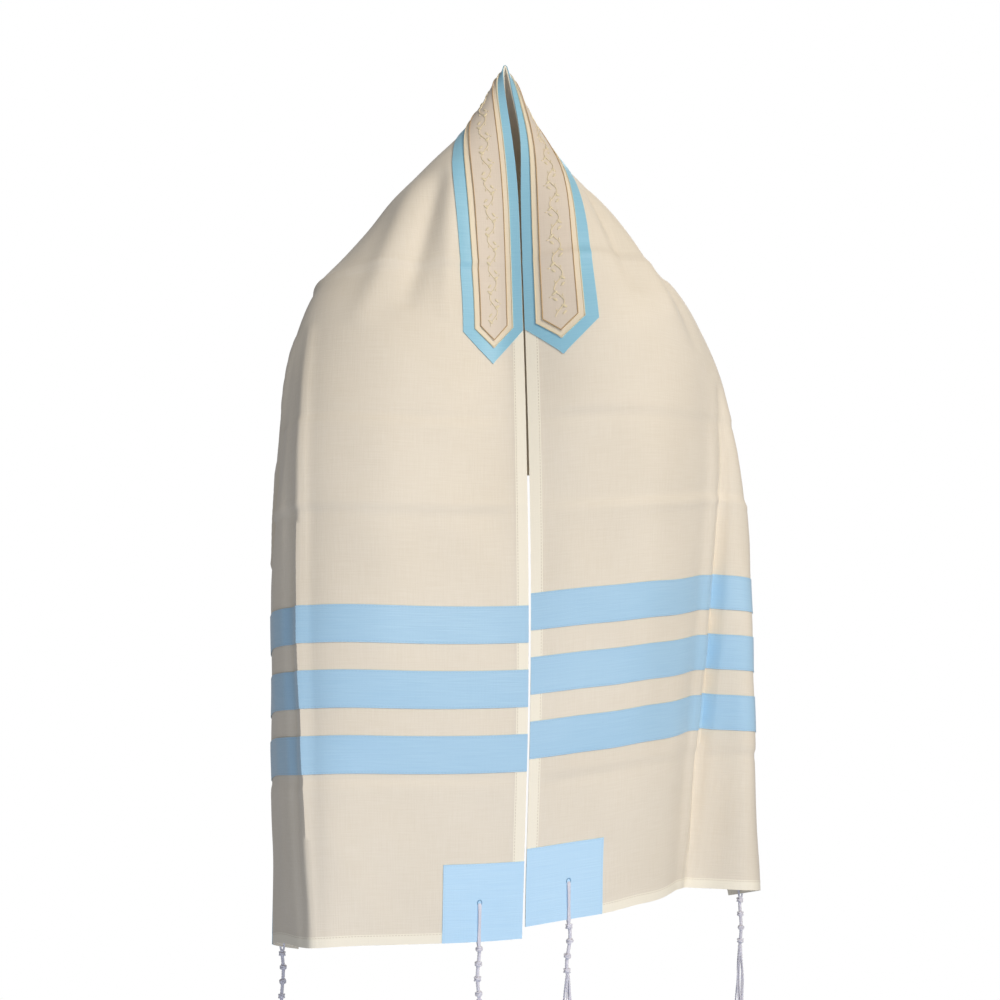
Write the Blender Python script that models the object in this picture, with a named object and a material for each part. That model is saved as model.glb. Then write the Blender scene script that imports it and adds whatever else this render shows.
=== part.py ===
"""Tallit prayer shawl, worn: one cloth rectangle hanging in folds from its middle, with its sewn-on pieces.

Metres, +Z up. The viewer stands at -Y and sees the front. The origin is the neck point inside the shawl,
where the wearer's shoulders hold it. The cloth is worked out from its flat cut: u runs along the length
from the middle, v runs across from the top edge, which comes down both sides of the front.
"""

import math
from collections import namedtuple

import bmesh
import bpy
import numpy as np

# The flat shawl
LENGTH = 2.03
WIDTH = 0.51
MIDDLE_SHIFT = 0.006
LEFT, RIGHT = -1, 1
HALF = {LEFT: LENGTH / 2 + MIDDLE_SHIFT, RIGHT: LENGTH / 2 - MIDDLE_SHIFT}
SIDE_NAMES = {LEFT: "left", RIGHT: "right"}

# Thickness of the layers, and the gap where one lies on another
CLOTH_WALL = 0.0012
LAYER_WALL = 0.0010
SEAM_GAP = 0.0009
BAND_GAP = 0.0010

# The stripes, measured up from the hem at each end
STRIPE_WIDTH = 0.0415
STRIPE_SPACE = 0.0300
LOWEST_STRIPE = 0.1855
STRIPE_NAMES = ("lower", "middle", "upper")

# The corner squares
SQUARE_WIDTH = 0.092
SQUARE_HEIGHT = 0.086

# The neckband (atarah): three layers with pointed ends
Band = namedtuple("Band", "name inner outer reach point layer")
BANDS = (
    Band("atarah_band", 0.0, 0.0770, 0.374, 0.036, 0),
    Band("atarah_inlay", 0.0115, 0.0630, 0.356, 0.022, 1),
    Band("atarah_panel", 0.0185, 0.0560, 0.348, 0.017, 2),
)

# The tassels (tzitzit) at the four corners
TASSEL_FROM_HEM = SQUARE_HEIGHT / 2
TASSEL_FROM_EDGE = {"front": 0.050, "rear": 0.040}
LOOP_WIDTH = 0.0035
LOOP_DEPTH = 0.0016
LOOP_DROP = 0.010
KNOT_LENGTH = 0.052
KNOT_RADIUS = 0.0034
KNOT_BULGE = 0.0009
KNOT_COUNT = 4
KNOT_NECK = 0.003
LEG_MEET = 0.0007
STRAND_ROWS, STRAND_COLUMNS = 2, 4
STRAND_LENGTH = 0.235
STRAND_STEPS = 6
STRAND_SPREAD = 0.022
STRAND_WAVE = 0.0014
STRAND_CUT = 0.05
PLATE_HALF_WIDTH, PLATE_HALF_DEPTH = 0.0088, 0.0044
PLATE_DROP = 0.004
PLATE_INSET = 0.0009

# The form that the cloth takes
PEAK = np.array([-0.008, 0.0, 0.247])
RIM = 0.355
SHOULDER = RIM / math.sqrt(2)
Slope = namedtuple("Slope", "distance front left right back")
SLOPES = (
    Slope(0.000, 14, 20, 20, 24),
    Slope(0.060, 14, 28, 22, 25),
    Slope(0.090, 14, 52, 27, 19),
    Slope(0.135, 13, 48, 50, 19),
    Slope(0.180, 12, 46, 41, 18),
    Slope(0.240, 11, 38, 37, 17),
    Slope(0.290, 10, 40, 40, 16),
    Slope(0.325, 10, 52, 50, 12),
    Slope(0.350, 9, 60, 50, 11),
    Slope(0.375, 9, 44, 40, 10),
    Slope(0.400, 8, 24, 26, 8),
    Slope(0.460, 7, 16, 18, 6),
    Slope(0.600, 3, 5, 8, 4),
)

# The hem seen from above: headings in degrees, 0 is outwards to the side and 90 straight back.
# The lift is how far the hem is drawn up there, most of it soon below the shoulder
Turn = namedtuple("Turn", "across heading lift")
HEM_TURNS = {
    LEFT: (
        Turn(0.000, -15, 0.000),
        Turn(0.230, -24, 0.004),
        Turn(0.252, 67, 0.007),
        Turn(0.340, 71, 0.018),
        Turn(0.400, 76, 0.018),
        Turn(0.450, 102, 0.018),
        Turn(WIDTH, 122, 0.016),
    ),
    RIGHT: (
        Turn(0.000, 13, 0.000),
        Turn(0.100, 23, -0.006),
        Turn(0.180, 50, 0.010),
        Turn(0.238, 78, 0.050),
        Turn(0.276, -24, 0.058),
        Turn(0.325, -20, 0.060),
        Turn(0.352, 80, 0.060),
        Turn(0.400, 97, 0.058),
        Turn(WIDTH, 108, 0.054),
    ),
}
HEM_START = {LEFT: (0.0104, -0.130), RIGHT: (0.0134, -0.130)}

# The two front edges, side by side: distance from the peak, sideways place, half of the gap
Edge = namedtuple("Edge", "distance middle half_gap")
FRONT_EDGES = (
    Edge(0.00, 0.000, 0.0010),
    Edge(0.02, 0.004, 0.0125),
    Edge(0.07, 0.011, 0.0095),
    Edge(0.12, 0.0125, 0.0040),
    Edge(0.17, 0.0140, 0.0010),
    Edge(0.36, 0.0185, -0.0005),
    Edge(1.03, 0.0215, 0.0002),
)
MOST_TURN = 0.7
FRONT_BOW = 0.008

# How soon a hanging thread of the front reaches its place over the hem
FRONT_POWER = 2.0
# The whole side moves out and forward just below the shoulder's tip, and keeps that place down to the hem
SWELL = {LEFT: (0.042, -0.060), RIGHT: (0.074, 0.0)}
SWELL_POWER = 6

# The folds that fall behind each shoulder, and how the back hangs
BACK_LEAN = 0.10
FOLD_LEAN = (0.20, 0.36)
FOLD_COUNT = 1
FOLD_DEPTH = 0.24
FOLD_START = 0.16
FOLD_EASE = 0.3
FOLD_AXIS = (0.75, 0.66)

LIFT_POWER = 3

# The net that is relaxed until every thread has its own length
NET_ALONG, NET_ACROSS = 50, 25
ROUNDS = 600
EASING_ALONG, EASING_ACROSS = 3, 1
# The net is eased in full from this far from the peak, and less inside it, so the peak stays pointed
EASED_FROM, LEAST_EASE = 0.06, 0.35

# Stations of the solid cloth, along each half and across
ALONG = (
    0.015, 0.035, 0.06, 0.09, 0.125, 0.16, 0.20, 0.24, 0.275, 0.308, 0.338, 0.356, 0.374,
    0.41, 0.45, 0.49, 0.53, 0.57, 0.60,
)
BAND_ACROSS = (0.0115, 0.0185, 0.037, 0.056, 0.063, 0.077)
ACROSS = (
    0.0, *BAND_ACROSS, 0.115, 0.15, 0.185, 0.215, 0.238, 0.251, 0.264,
    0.280, 0.305, 0.332, 0.36, 0.385, 0.418, 0.445, 0.470, 0.49, WIDTH,
)

Finish = namedtuple("Finish", "name colour roughness")
CREAM = Finish("cream cloth", (0.80, 0.74, 0.62), 0.55)
BLUE = Finish("light blue cloth", (0.45, 0.69, 0.87), 0.45)
BEIGE = Finish("embroidered panel", (0.72, 0.62, 0.49), 0.5)
WOOL = Finish("white tassel wool", (0.82, 0.80, 0.82), 0.8)


def column(table, name):
    """One named column of a table as numbers."""
    return np.array([getattr(row, name) for row in table], float)


def meridian(azimuth, distance, side, steps=24):
    """Point at a slant distance from the peak; azimuth 0 is the front and pi the back."""
    middle = (np.arange(steps) + 0.5) * distance / steps
    depth = "front" if azimuth < math.pi / 2 else "back"
    distances = column(SLOPES, "distance")
    ahead = np.interp(middle, distances, column(SLOPES, depth))
    aside = np.interp(middle, distances, column(SLOPES, SIDE_NAMES[side]))
    slope = np.radians(ahead * math.cos(azimuth) ** 2 + aside * math.sin(azimuth) ** 2)
    out = np.sin(slope).sum() * distance / steps
    down = np.cos(slope).sum() * distance / steps
    return PEAK + np.array([side * math.sin(azimuth) * out, -math.cos(azimuth) * out, -down])


def azimuth_table(side):
    """Flat angle round the peak against azimuth, shared out by length round the shoulders."""
    azimuths = np.linspace(0, math.pi, 61)
    rim = np.array([meridian(azimuth, RIM, side) for azimuth in azimuths])
    run = np.concatenate([[0], np.cumsum(np.linalg.norm(np.diff(rim, axis=0), axis=1))])
    return run / run[-1] * math.pi / 2, azimuths


def hem_plan(side, step=0.002):
    """The hem seen from above, walked along its headings."""
    turns = HEM_TURNS[side]
    run = np.arange(0, WIDTH + step, step)
    heading = np.radians(np.interp(run, column(turns, "across"), column(turns, "heading")))
    x = np.concatenate([[0], np.cumsum(np.cos(heading[:-1]) * step)])
    y = np.concatenate([[0], np.cumsum(np.sin(heading[:-1]) * step)])
    return run, HEM_START[side][0] + side * x, HEM_START[side][1] + y


class Form:
    """The wanted place of each point of the cloth, before its threads get their true lengths."""

    def __init__(self):
        self.azimuths = {side: azimuth_table(side) for side in (LEFT, RIGHT)}
        self.plans = {side: hem_plan(side) for side in (LEFT, RIGHT)}

    def cone(self, u, v, side):
        """The part that stands on the shoulders under the peak."""
        distance = math.hypot(u, v)
        if distance == 0:
            return PEAK.copy()
        azimuth = float(np.interp(math.atan2(v, u), *self.azimuths[side]))
        distances = column(FRONT_EDGES, "distance")
        middle = np.interp(distance, distances, column(FRONT_EDGES, "middle"))
        gap = np.interp(distance, distances, column(FRONT_EDGES, "half_gap"))
        ahead = -meridian(0.0, distance, side)[1]
        first = math.asin(np.clip((side * middle + gap) / ahead, -MOST_TURN, MOST_TURN))
        return meridian(first + azimuth * (1 - first / math.pi), distance, side)

    def hem(self, across, side):
        """Place of the hem, seen from above."""
        run, x, y = self.plans[side]
        return np.array([np.interp(across, run, x), np.interp(across, run, y)])

    def lift(self, across, side):
        """How far the hem is drawn up."""
        turns = HEM_TURNS[side]
        return float(np.interp(across, column(turns, "across"), column(turns, "lift")))

    def hang(self, start, end, run, length, lift, share):
        """A thread that lets go of the shoulder at start and hangs to the hem above end.

        The share is 0 at the front edge and 1 from the shoulder's tip on.
        """
        t = run / length
        swell = np.array(SWELL[LEFT if start[0] < 0 else RIGHT]) * share
        swell[0] *= LEFT if start[0] < 0 else RIGHT
        ease = 1 - (1 - t) ** (FRONT_POWER + (1 - FRONT_POWER) * share)
        shift = swell * (1 - (1 - t) ** SWELL_POWER) + (end - start[:2] - swell) * ease
        fall = math.sqrt(max(run * run - shift @ shift, 1e-9))
        return start + np.array([shift[0], shift[1], lift * (1 - (1 - t) ** LIFT_POWER) - fall])

    def lean(self, start, direction, run):
        """A straight thread from start, with the level part of its direction given."""
        fall = math.sqrt(max(1 - direction @ direction, 0.05))
        return start + run * np.array([direction[0], direction[1], -fall])

    def point(self, u, v, side):
        """The wanted place of the point u, v of one half."""
        if math.hypot(u, v) <= RIM:
            return self.cone(u, v, side)
        tip = self.cone(SHOULDER, SHOULDER, side)
        inner = np.array([-side * FOLD_LEAN[0], FOLD_LEAN[1]])
        if v <= SHOULDER:
            return self.front_panel(u, v, side)
        if u <= SHOULDER:
            release = math.sqrt(RIM ** 2 - u ** 2)
            share = (u / SHOULDER) ** 2
            direction = inner * share + np.array([0, BACK_LEAN]) * (1 - share)
            return self.lean(self.cone(u, release, side), direction, v - release)
        return self.side_panel(u, v, side, tip, inner)

    def front_panel(self, u, v, side):
        """The front, whose threads hang straight."""
        release = math.sqrt(RIM ** 2 - v ** 2)
        start = self.cone(release, v, side)
        length = HALF[side] - release
        point = self.hang(start, self.hem(v, side), u - release, length, self.lift(v, side), (v / SHOULDER) ** 2)
        point[0] += FRONT_BOW * math.sin(math.pi * (u - release) / length) * max(0, 1 - v / 0.2)
        return point

    def side_panel(self, u, v, side, tip, inner):
        """The cloth that fans out below the shoulder's tip: the side, then the folds behind it."""
        run = math.hypot(u - SHOULDER, v - SHOULDER)
        angle = math.atan2(v - SHOULDER, u - SHOULDER)
        drop = HALF[side] - SHOULDER
        corner = math.atan2(WIDTH - SHOULDER, drop)
        if angle <= corner:
            across = SHOULDER + drop * math.tan(angle)
            lift = self.lift(across, side)
            return self.hang(tip, self.hem(across, side), run, drop / math.cos(angle), lift, 1.0)
        outer = (self.hem(WIDTH, side) - tip[:2]) / (drop / math.cos(corner))
        share = (angle - corner) / (math.pi / 2 - corner)
        grown = min(1.0, run / FOLD_START) ** 2
        begun = min(1.0, share / FOLD_EASE) ** 2
        wave = FOLD_DEPTH * grown * begun * math.sin(2 * math.pi * FOLD_COUNT * share)
        swell = np.array([side * SWELL[side][0], SWELL[side][1]])
        settled = 1 - (1 - min(1.0, run / drop)) ** SWELL_POWER
        corner_ray = outer + swell * (settled / run - math.cos(corner) / drop)
        direction = corner_ray * (1 - share) + inner * share
        direction = direction + wave * np.array([side * FOLD_AXIS[0], FOLD_AXIS[1]])
        left_over = 1 - min(1.0, run * math.cos(corner) / drop)
        lift = self.lift(WIDTH, side) * (1 - share) ** 2 * (1 - left_over ** LIFT_POWER)
        return self.lean(tip, direction, run) + np.array([0, 0, lift])


def project(net, flat, step, stiffness):
    """Give every edge of one kind its flat length, even edges first and then odd ones."""
    along, across = step
    rows, columns = net.shape[0], net.shape[1]
    first_column = 1 if across < 0 else 0
    last_column = columns - max(across, 0)
    for phase in (0, 1):
        rows_used = np.arange(0, rows - along)
        columns_used = np.arange(first_column, last_column)
        if along:
            rows_used = rows_used[rows_used % 2 == phase]
        else:
            columns_used = columns_used[columns_used % 2 == phase]
        i, j = np.meshgrid(rows_used, columns_used, indexing="ij")
        edge = net[i + along, j + across] - net[i, j]
        wanted = np.linalg.norm(flat[i + along, j + across] - flat[i, j], axis=-1)
        length = np.maximum(np.linalg.norm(edge, axis=-1), 1e-6)
        shift = (stiffness * (length - wanted) / length)[..., None] * edge
        net[i, j] += shift
        net[i + along, j + across] -= shift


def holding(u, v):
    """How firmly each point keeps its wanted place: the top, the front edges and the hem most."""
    u = np.abs(u)
    hold = 0.02 + 0.25 * np.clip(1 - np.hypot(u, v) / 0.42, 0, 1) ** 0.5
    hold = hold + 0.10 * np.clip((0.30 - v) / 0.05, 0, 1) * (u > 0.3) + 0.10 * np.clip((u - 0.6) / 0.2, 0, 1)
    hold = np.where((v > 0.28) & (u < 0.55), 0.01, hold)
    return np.where(v < 0.01, 0.4, hold)


def draped_net():
    """The relaxed net, with its stations along (signed) and across."""
    form = Form()
    left = -np.linspace(0, HALF[LEFT], NET_ALONG + 1)[:0:-1]
    along = np.concatenate([left, np.linspace(0, HALF[RIGHT], NET_ALONG + 1)])
    across = np.linspace(0, WIDTH, NET_ACROSS + 1)
    wanted = np.zeros((len(along), len(across), 3))
    for i, u in enumerate(along):
        for j, v in enumerate(across):
            sides = (LEFT, RIGHT) if u == 0 else (LEFT,) if u < 0 else (RIGHT,)
            wanted[i, j] = np.mean([form.point(abs(u), v, side) for side in sides], axis=0)
    u, v = np.meshgrid(along, across, indexing="ij")
    lifts = {side: np.array([form.lift(value, side) for value in across]) for side in (LEFT, RIGHT)}
    taken = np.where(u < 0, lifts[LEFT], lifts[RIGHT])
    left_over = 1 - np.clip((np.abs(u) - SHOULDER) / (LENGTH / 2 - SHOULDER), 0, 1)
    flat = np.stack([u - np.sign(u) * taken * (1 - left_over ** LIFT_POWER), v], -1)
    hold = holding(u, v)[..., None]
    net = wanted.copy()
    for _ in range(ROUNDS):
        for step in ((1, 0), (0, 1)):
            project(net, flat, step, 0.45)
        for step in ((1, 1), (1, -1)):
            project(net, flat, step, 0.225)
        smooth = net.copy()
        smooth[1:-1] += 0.05 * (net[:-2] + net[2:] - 2 * net[1:-1])
        smooth[:, 1:-1] += 0.04 * (net[:, :-2] + net[:, 2:] - 2 * net[:, 1:-1])
        net = smooth + hold * (wanted - smooth)
    ease = np.clip(np.hypot(u, v) / EASED_FROM, LEAST_EASE, 1)[..., None] / 4
    for _ in range(EASING_ALONG):
        net[1:-1] += ease[1:-1] * (net[:-2] - 2 * net[1:-1] + net[2:])
    for _ in range(EASING_ACROSS):
        net[:, 1:-1] += ease[:, 1:-1] * (net[:, :-2] - 2 * net[:, 1:-1] + net[:, 2:])
    return along, across, net


class Drape:
    """The draped cloth as a smooth surface over its flat cut."""

    def __init__(self):
        self.along, self.across, net = draped_net()
        before = 2 * net[:1] - net[1:2]
        after = 2 * net[-1:] - net[-2:-1]
        net = np.concatenate([before, net, after])
        before = 2 * net[:, :1] - net[:, 1:2]
        after = 2 * net[:, -1:] - net[:, -2:-1]
        self.net = np.concatenate([before, net, after], axis=1)

    @staticmethod
    def weights(stations, value):
        """First net row and the four smooth weights for a value."""
        cell = int(np.clip(np.searchsorted(stations, value, side="right") - 1, 0, len(stations) - 2))
        t = (value - stations[cell]) / (stations[cell + 1] - stations[cell])
        weights = 0.5 * np.array([
            -t + 2 * t ** 2 - t ** 3,
            2 - 5 * t ** 2 + 3 * t ** 3,
            t + 4 * t ** 2 - 3 * t ** 3,
            -t ** 2 + t ** 3,
        ])
        return cell, weights

    def middle(self, u, v):
        """Place of the point u, v, halfway through the cloth."""
        i, along = self.weights(self.along, u)
        j, across = self.weights(self.across, v)
        return np.einsum("a,b,abk->k", along, across, self.net[i:i + 4, j:j + 4])

    def normal(self, u, v, reach=0.004):
        """Direction out of the cloth at u, v."""
        along = self.middle(u + reach, v) - self.middle(u - reach, v)
        across = self.middle(u, v + reach) - self.middle(u, v - reach)
        out = np.cross(along, across)
        return out / np.linalg.norm(out)

    def place(self, u, v, height):
        """Place of the point u, v, moved out of the cloth by a height."""
        return self.middle(u, v) + self.normal(u, v) * height


def material(finish):
    """The material of a finish, made once."""
    found = bpy.data.materials.get(finish.name)
    if found:
        return found
    made = bpy.data.materials.new(finish.name)
    made.use_nodes = True
    shader = made.node_tree.nodes["Principled BSDF"]
    shader.inputs["Base Color"].default_value = (*finish.colour, 1)
    shader.inputs["Roughness"].default_value = finish.roughness
    shader.inputs["Metallic"].default_value = 0.0
    return made


def add_object(name, mesh_data, finish):
    """Put a finished bmesh into the scene as one object."""
    mesh = bpy.data.meshes.new(name)
    mesh_data.to_mesh(mesh)
    mesh_data.free()
    mesh.shade_smooth()
    mesh.set_sharp_from_angle(angle=math.radians(40))
    mesh.materials.append(material(finish))
    part = bpy.data.objects.new(name, mesh)
    bpy.context.scene.collection.objects.link(part)
    return part


def wall(name, drape, rows, bottom, top, finish):
    """A closed wall over rows of flat points, between two heights above the middle of the cloth."""
    solid = bmesh.new()
    layers = []
    for height in (bottom, top):
        layers.append([[solid.verts.new(drape.place(u, v, height)) for u, v in row] for row in rows])
    under, over = layers
    for i in range(len(rows) - 1):
        left_half = rows[i][0][0] < 0
        for j in range(len(rows[0]) - 1):
            for layer, order in ((over, 1), (under, -1)):
                a, b, c, d = layer[i][j], layer[i + 1][j], layer[i + 1][j + 1], layer[i][j + 1]
                # The folds run outwards and down from the shoulder, so each half has its own diagonal
                halves = ((a, b, d), (b, c, d)) if left_half else ((a, b, c), (a, c, d))
                for half in halves:
                    solid.faces.new(half[::order])
    solid.verts.index_update()
    rims = [edge for edge in solid.edges if edge.is_boundary]
    size = len(rows) * len(rows[0])
    ring = [edge for edge in rims if edge.verts[0].index < size]
    twin = {under[i][j]: over[i][j] for i in range(len(rows)) for j in range(len(rows[0]))}
    for edge in ring:
        a, b = edge.verts
        solid.faces.new((a, b, twin[b]))
        solid.faces.new((a, twin[b], twin[a]))
    bmesh.ops.recalc_face_normals(solid, faces=solid.faces)
    return add_object(name, solid, finish)


def stripe_edges(side):
    """Lower and upper edge of each stripe, measured along from the middle."""
    pitch = STRIPE_WIDTH + STRIPE_SPACE
    lows = [HALF[side] - LOWEST_STRIPE - pitch * index for index in range(len(STRIPE_NAMES))]
    return [(low, low - STRIPE_WIDTH) for low in lows]


def along_stations(side):
    """Stations of one half of the cloth, from the first after the middle to the hem."""
    below = (0.155, 0.12, SQUARE_HEIGHT, SQUARE_HEIGHT / 2, SQUARE_HEIGHT / 4, 0.0)
    stations = list(ALONG)
    for low, high in reversed(stripe_edges(side)):
        stations += [high, (high + low) / 2, low]
    return stations + [HALF[side] - up for up in below]


def build_cloth(drape):
    """The shawl itself, one rectangle."""
    along = [-u for u in reversed(along_stations(LEFT))] + [0.0] + along_stations(RIGHT)
    rows = [[(u, v) for v in ACROSS] for u in along]
    wall("shawl_cloth", drape, rows, -CLOTH_WALL / 2, CLOTH_WALL / 2, CREAM)


def layer_heights(layer, gap=SEAM_GAP):
    """Bottom and top of a sewn-on layer, measured from the middle of the cloth."""
    bottom = CLOTH_WALL / 2 + gap + layer * (LAYER_WALL + SEAM_GAP)
    return bottom, bottom + LAYER_WALL


def build_stripes(drape):
    """Three stripes at each end, from edge to edge."""
    for side in (LEFT, RIGHT):
        for name, (low, high) in zip(STRIPE_NAMES, stripe_edges(side)):
            stations = (high, (high + low) / 2, low)
            rows = [[(side * u, v) for v in ACROSS] for u in stations[::side]]
            wall(f"stripe_{SIDE_NAMES[side]}_{name}", drape, rows, *layer_heights(0), BLUE)


def build_squares(drape):
    """The four corner squares, flush with the hems."""
    across = {
        "front": (0.0, 0.0185, 0.056, SQUARE_WIDTH),
        "rear": (WIDTH - SQUARE_WIDTH, 0.445, 0.470, 0.49, WIDTH),
    }
    for side in (LEFT, RIGHT):
        stations = [HALF[side] - up for up in (SQUARE_HEIGHT, SQUARE_HEIGHT / 2, SQUARE_HEIGHT / 4, 0.0)]
        for end, columns in across.items():
            rows = [[(side * u, v) for v in columns] for u in stations[::side]]
            wall(f"square_{end}_{SIDE_NAMES[side]}", drape, rows, *layer_heights(0), BLUE)


def build_neckband(drape):
    """The neckband's three layers over the middle of the top edge, each with a point at both ends."""
    blunt = 0.0015
    for band in BANDS:
        straight = [u for u in ALONG if u < band.reach - band.point - 0.004]
        half = straight + [band.reach - band.point, band.reach - band.point / 2, band.reach]
        along = [-u for u in reversed(half)] + [0.0] + half
        columns = [band.inner] + [v for v in BAND_ACROSS if band.inner < v < band.outer] + [band.outer]
        centre = (band.inner + band.outer) / 2
        rows = []
        for u in along:
            left_over = min(1.0, (band.reach - abs(u)) / band.point)
            narrow = max(left_over, blunt / (band.outer - band.inner))
            rows.append([(u, centre + (v - centre) * narrow) for v in columns])
        finish = (BLUE, CREAM, BEIGE)[band.layer]
        wall(band.name, drape, rows, *layer_heights(band.layer, BAND_GAP), finish)


def frame_at(drape, u, v):
    """Place on the cloth, its outward direction laid level, and the sideways direction."""
    out = drape.normal(u, v)
    out[2] = 0.0
    out /= np.linalg.norm(out)
    return drape.middle(u, v), out, np.array([-out[1], out[0], 0.0])


def ring_of(solid, centre, aside, out, half_width, half_depth):
    """Four corners of a strap's or strand's section."""
    corners = ((-1, -1), (1, -1), (1, 1), (-1, 1))
    return [solid.verts.new(centre + aside * half_width * a + out * half_depth * b) for a, b in corners]


def bridge(solid, first, second):
    """Side faces between two sections."""
    count = len(first)
    for i in range(count):
        j = (i + 1) % count
        solid.faces.new((first[i], first[j], second[j], second[i]))


def build_tassel(name, drape, side, end, sway):
    """A tassel: a loop over both faces of the corner, its knotted head and its eight strands."""
    edge = TASSEL_FROM_EDGE[end]
    v = edge if end == "front" else WIDTH - edge
    hem = HALF[side]
    solid = bmesh.new()
    _, top = layer_heights(0)
    front_heights = (top + SEAM_GAP, top + SEAM_GAP + LOOP_DEPTH)
    back_heights = (-CLOTH_WALL / 2 - SEAM_GAP - LOOP_DEPTH, -CLOTH_WALL / 2 - SEAM_GAP)
    foot, out, aside = frame_at(drape, side * hem, v)
    legs = []
    for heights in (back_heights, front_heights):
        rings = []
        for up in (TASSEL_FROM_HEM, TASSEL_FROM_HEM / 2, 0.0):
            u = side * (hem - up)
            facing = drape.normal(u, v)
            level = np.cross(np.array([0.0, 0.0, 1.0]), facing)
            level /= np.linalg.norm(level)
            centre = drape.middle(u, v) + facing * (heights[0] + heights[1]) / 2
            rings.append(ring_of(solid, centre, level, facing, LOOP_WIDTH / 2, LOOP_DEPTH / 2))
        for first, second in zip(rings, rings[1:]):
            bridge(solid, first, second)
        solid.faces.new(rings[0][::-1])
        legs.append(rings[-1])
    # Below the hem both legs widen towards each other and close over the knot
    knot_top = foot - np.array([0, 0, LOOP_DROP]) + out * LAYER_WALL / 2
    for index, leg in enumerate(legs):
        facing = (-1, 1)[index]
        centre = knot_top + out * facing * (LEG_MEET + LOOP_DEPTH / 2)
        landing = ring_of(solid, centre, aside, out, LOOP_WIDTH / 2, LOOP_DEPTH / 2)
        bridge(solid, leg, landing)
        legs[index] = landing
    back, front = legs
    # The knot's top face is pierced by the two legs: the strip between them closes it
    solid.faces.new((back[3], back[2], front[1], front[0]))
    outline = [back[0], back[1], back[2], front[1], front[2], front[3], front[0], back[3]]
    rings = [outline]
    steps = KNOT_COUNT * 2 + 1
    for step in range(steps + 1):
        share = step / steps
        bulge = KNOT_RADIUS + KNOT_BULGE * (1 if step % 2 else -1)
        centre = knot_top - np.array([0, 0, KNOT_NECK + share * KNOT_LENGTH])
        ring = []
        for vert in outline:
            away = np.array(vert.co) - knot_top
            level = np.array([away @ aside, away @ out])
            angle = math.atan2(level[1], level[0])
            ring.append(solid.verts.new(centre + aside * math.cos(angle) * bulge + out * math.sin(angle) * bulge))
        rings.append(ring)
    for first, second in zip(rings, rings[1:]):
        bridge(solid, first, second)
    hang_strands(solid, rings[-1], centre, aside, out, sway)
    bmesh.ops.triangulate(solid, faces=solid.faces)
    bmesh.ops.recalc_face_normals(solid, faces=solid.faces)
    add_object(name, solid, WOOL)


def hang_strands(solid, ring, centre, aside, out, sway):
    """Close the head below with a plate of cells, and let one strand hang from each cell."""
    columns, rows = STRAND_COLUMNS, STRAND_ROWS
    plate = centre - np.array([0, 0, PLATE_DROP])
    grid = []
    for j in range(rows + 1):
        line = []
        for i in range(columns + 1):
            across = (2 * i / columns - 1) * PLATE_HALF_WIDTH
            deep = (2 * j / rows - 1) * PLATE_HALF_DEPTH
            line.append(solid.verts.new(plate + aside * across + out * deep))
        grid.append(line)
    border = grid[0][:-1] + [line[-1] for line in grid[:-1]] + grid[-1][:0:-1] + [line[0] for line in grid[:0:-1]]
    seam = [solid.edges.get((a, b)) for a, b in zip(ring, ring[1:] + ring[:1])]
    seam += [solid.edges.new((a, b)) for a, b in zip(border, border[1:] + border[:1])]
    bmesh.ops.bridge_loops(solid, edges=seam)
    cells = []
    for j in range(rows):
        for i in range(columns):
            cells.append(solid.faces.new((grid[j][i], grid[j][i + 1], grid[j + 1][i + 1], grid[j + 1][i])))
    solid.normal_update()
    bmesh.ops.inset_individual(solid, faces=cells, thickness=PLATE_INSET, use_even_offset=True)
    for index, cell in enumerate(cells):
        column_index, row_index = index % columns, index // columns
        spread_a = (2 * (column_index + 0.5) / columns - 1) * STRAND_SPREAD / 2
        spread_b = (2 * (row_index + 0.5) / rows - 1) * STRAND_SPREAD / 4
        length = STRAND_LENGTH * (1 - STRAND_CUT * ((index * 3) % 5))
        face = cell
        root = np.array(face.calc_center_median())
        for step in range(1, STRAND_STEPS + 1):
            share = step / STRAND_STEPS
            grown = bmesh.ops.extrude_discrete_faces(solid, faces=[face])
            face = grown["faces"][0]
            drift = spread_a * share + sway * share ** 2 + STRAND_WAVE * math.sin(5 * share + index)
            goal = root + aside * drift + out * spread_b * share - np.array([0, 0, length * share])
            here = np.array(face.calc_center_median())
            for vert in face.verts:
                vert.co = np.array(vert.co) + goal - here


def clear_scene():
    """Remove what the new file holds."""
    for thing in list(bpy.data.objects):
        bpy.data.objects.remove(thing, do_unlink=True)


def main():
    clear_scene()
    drape = Drape()
    build_cloth(drape)
    build_stripes(drape)
    build_squares(drape)
    build_neckband(drape)
    for side in (LEFT, RIGHT):
        for end, sway in (("front", 0.006), ("rear", -0.004)):
            build_tassel(f"tzitzit_{end}_{SIDE_NAMES[side]}", drape, side, end, sway * side)


main()
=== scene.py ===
"""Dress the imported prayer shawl: its cloth, sewn-on pieces and corner tassels, in a plain pale studio.

The cloth is worked out from its flat cut, as the source of the solids does: u runs along the length from the
middle of the shawl, v runs across from the top edge, which comes down both sides of the front. Metres, +Z up,
and the viewer stands at -Y. Left and right are the photograph's.
"""

import logging
import math
from dataclasses import dataclass, field, replace
from enum import Enum
from typing import Optional, Sequence

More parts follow.
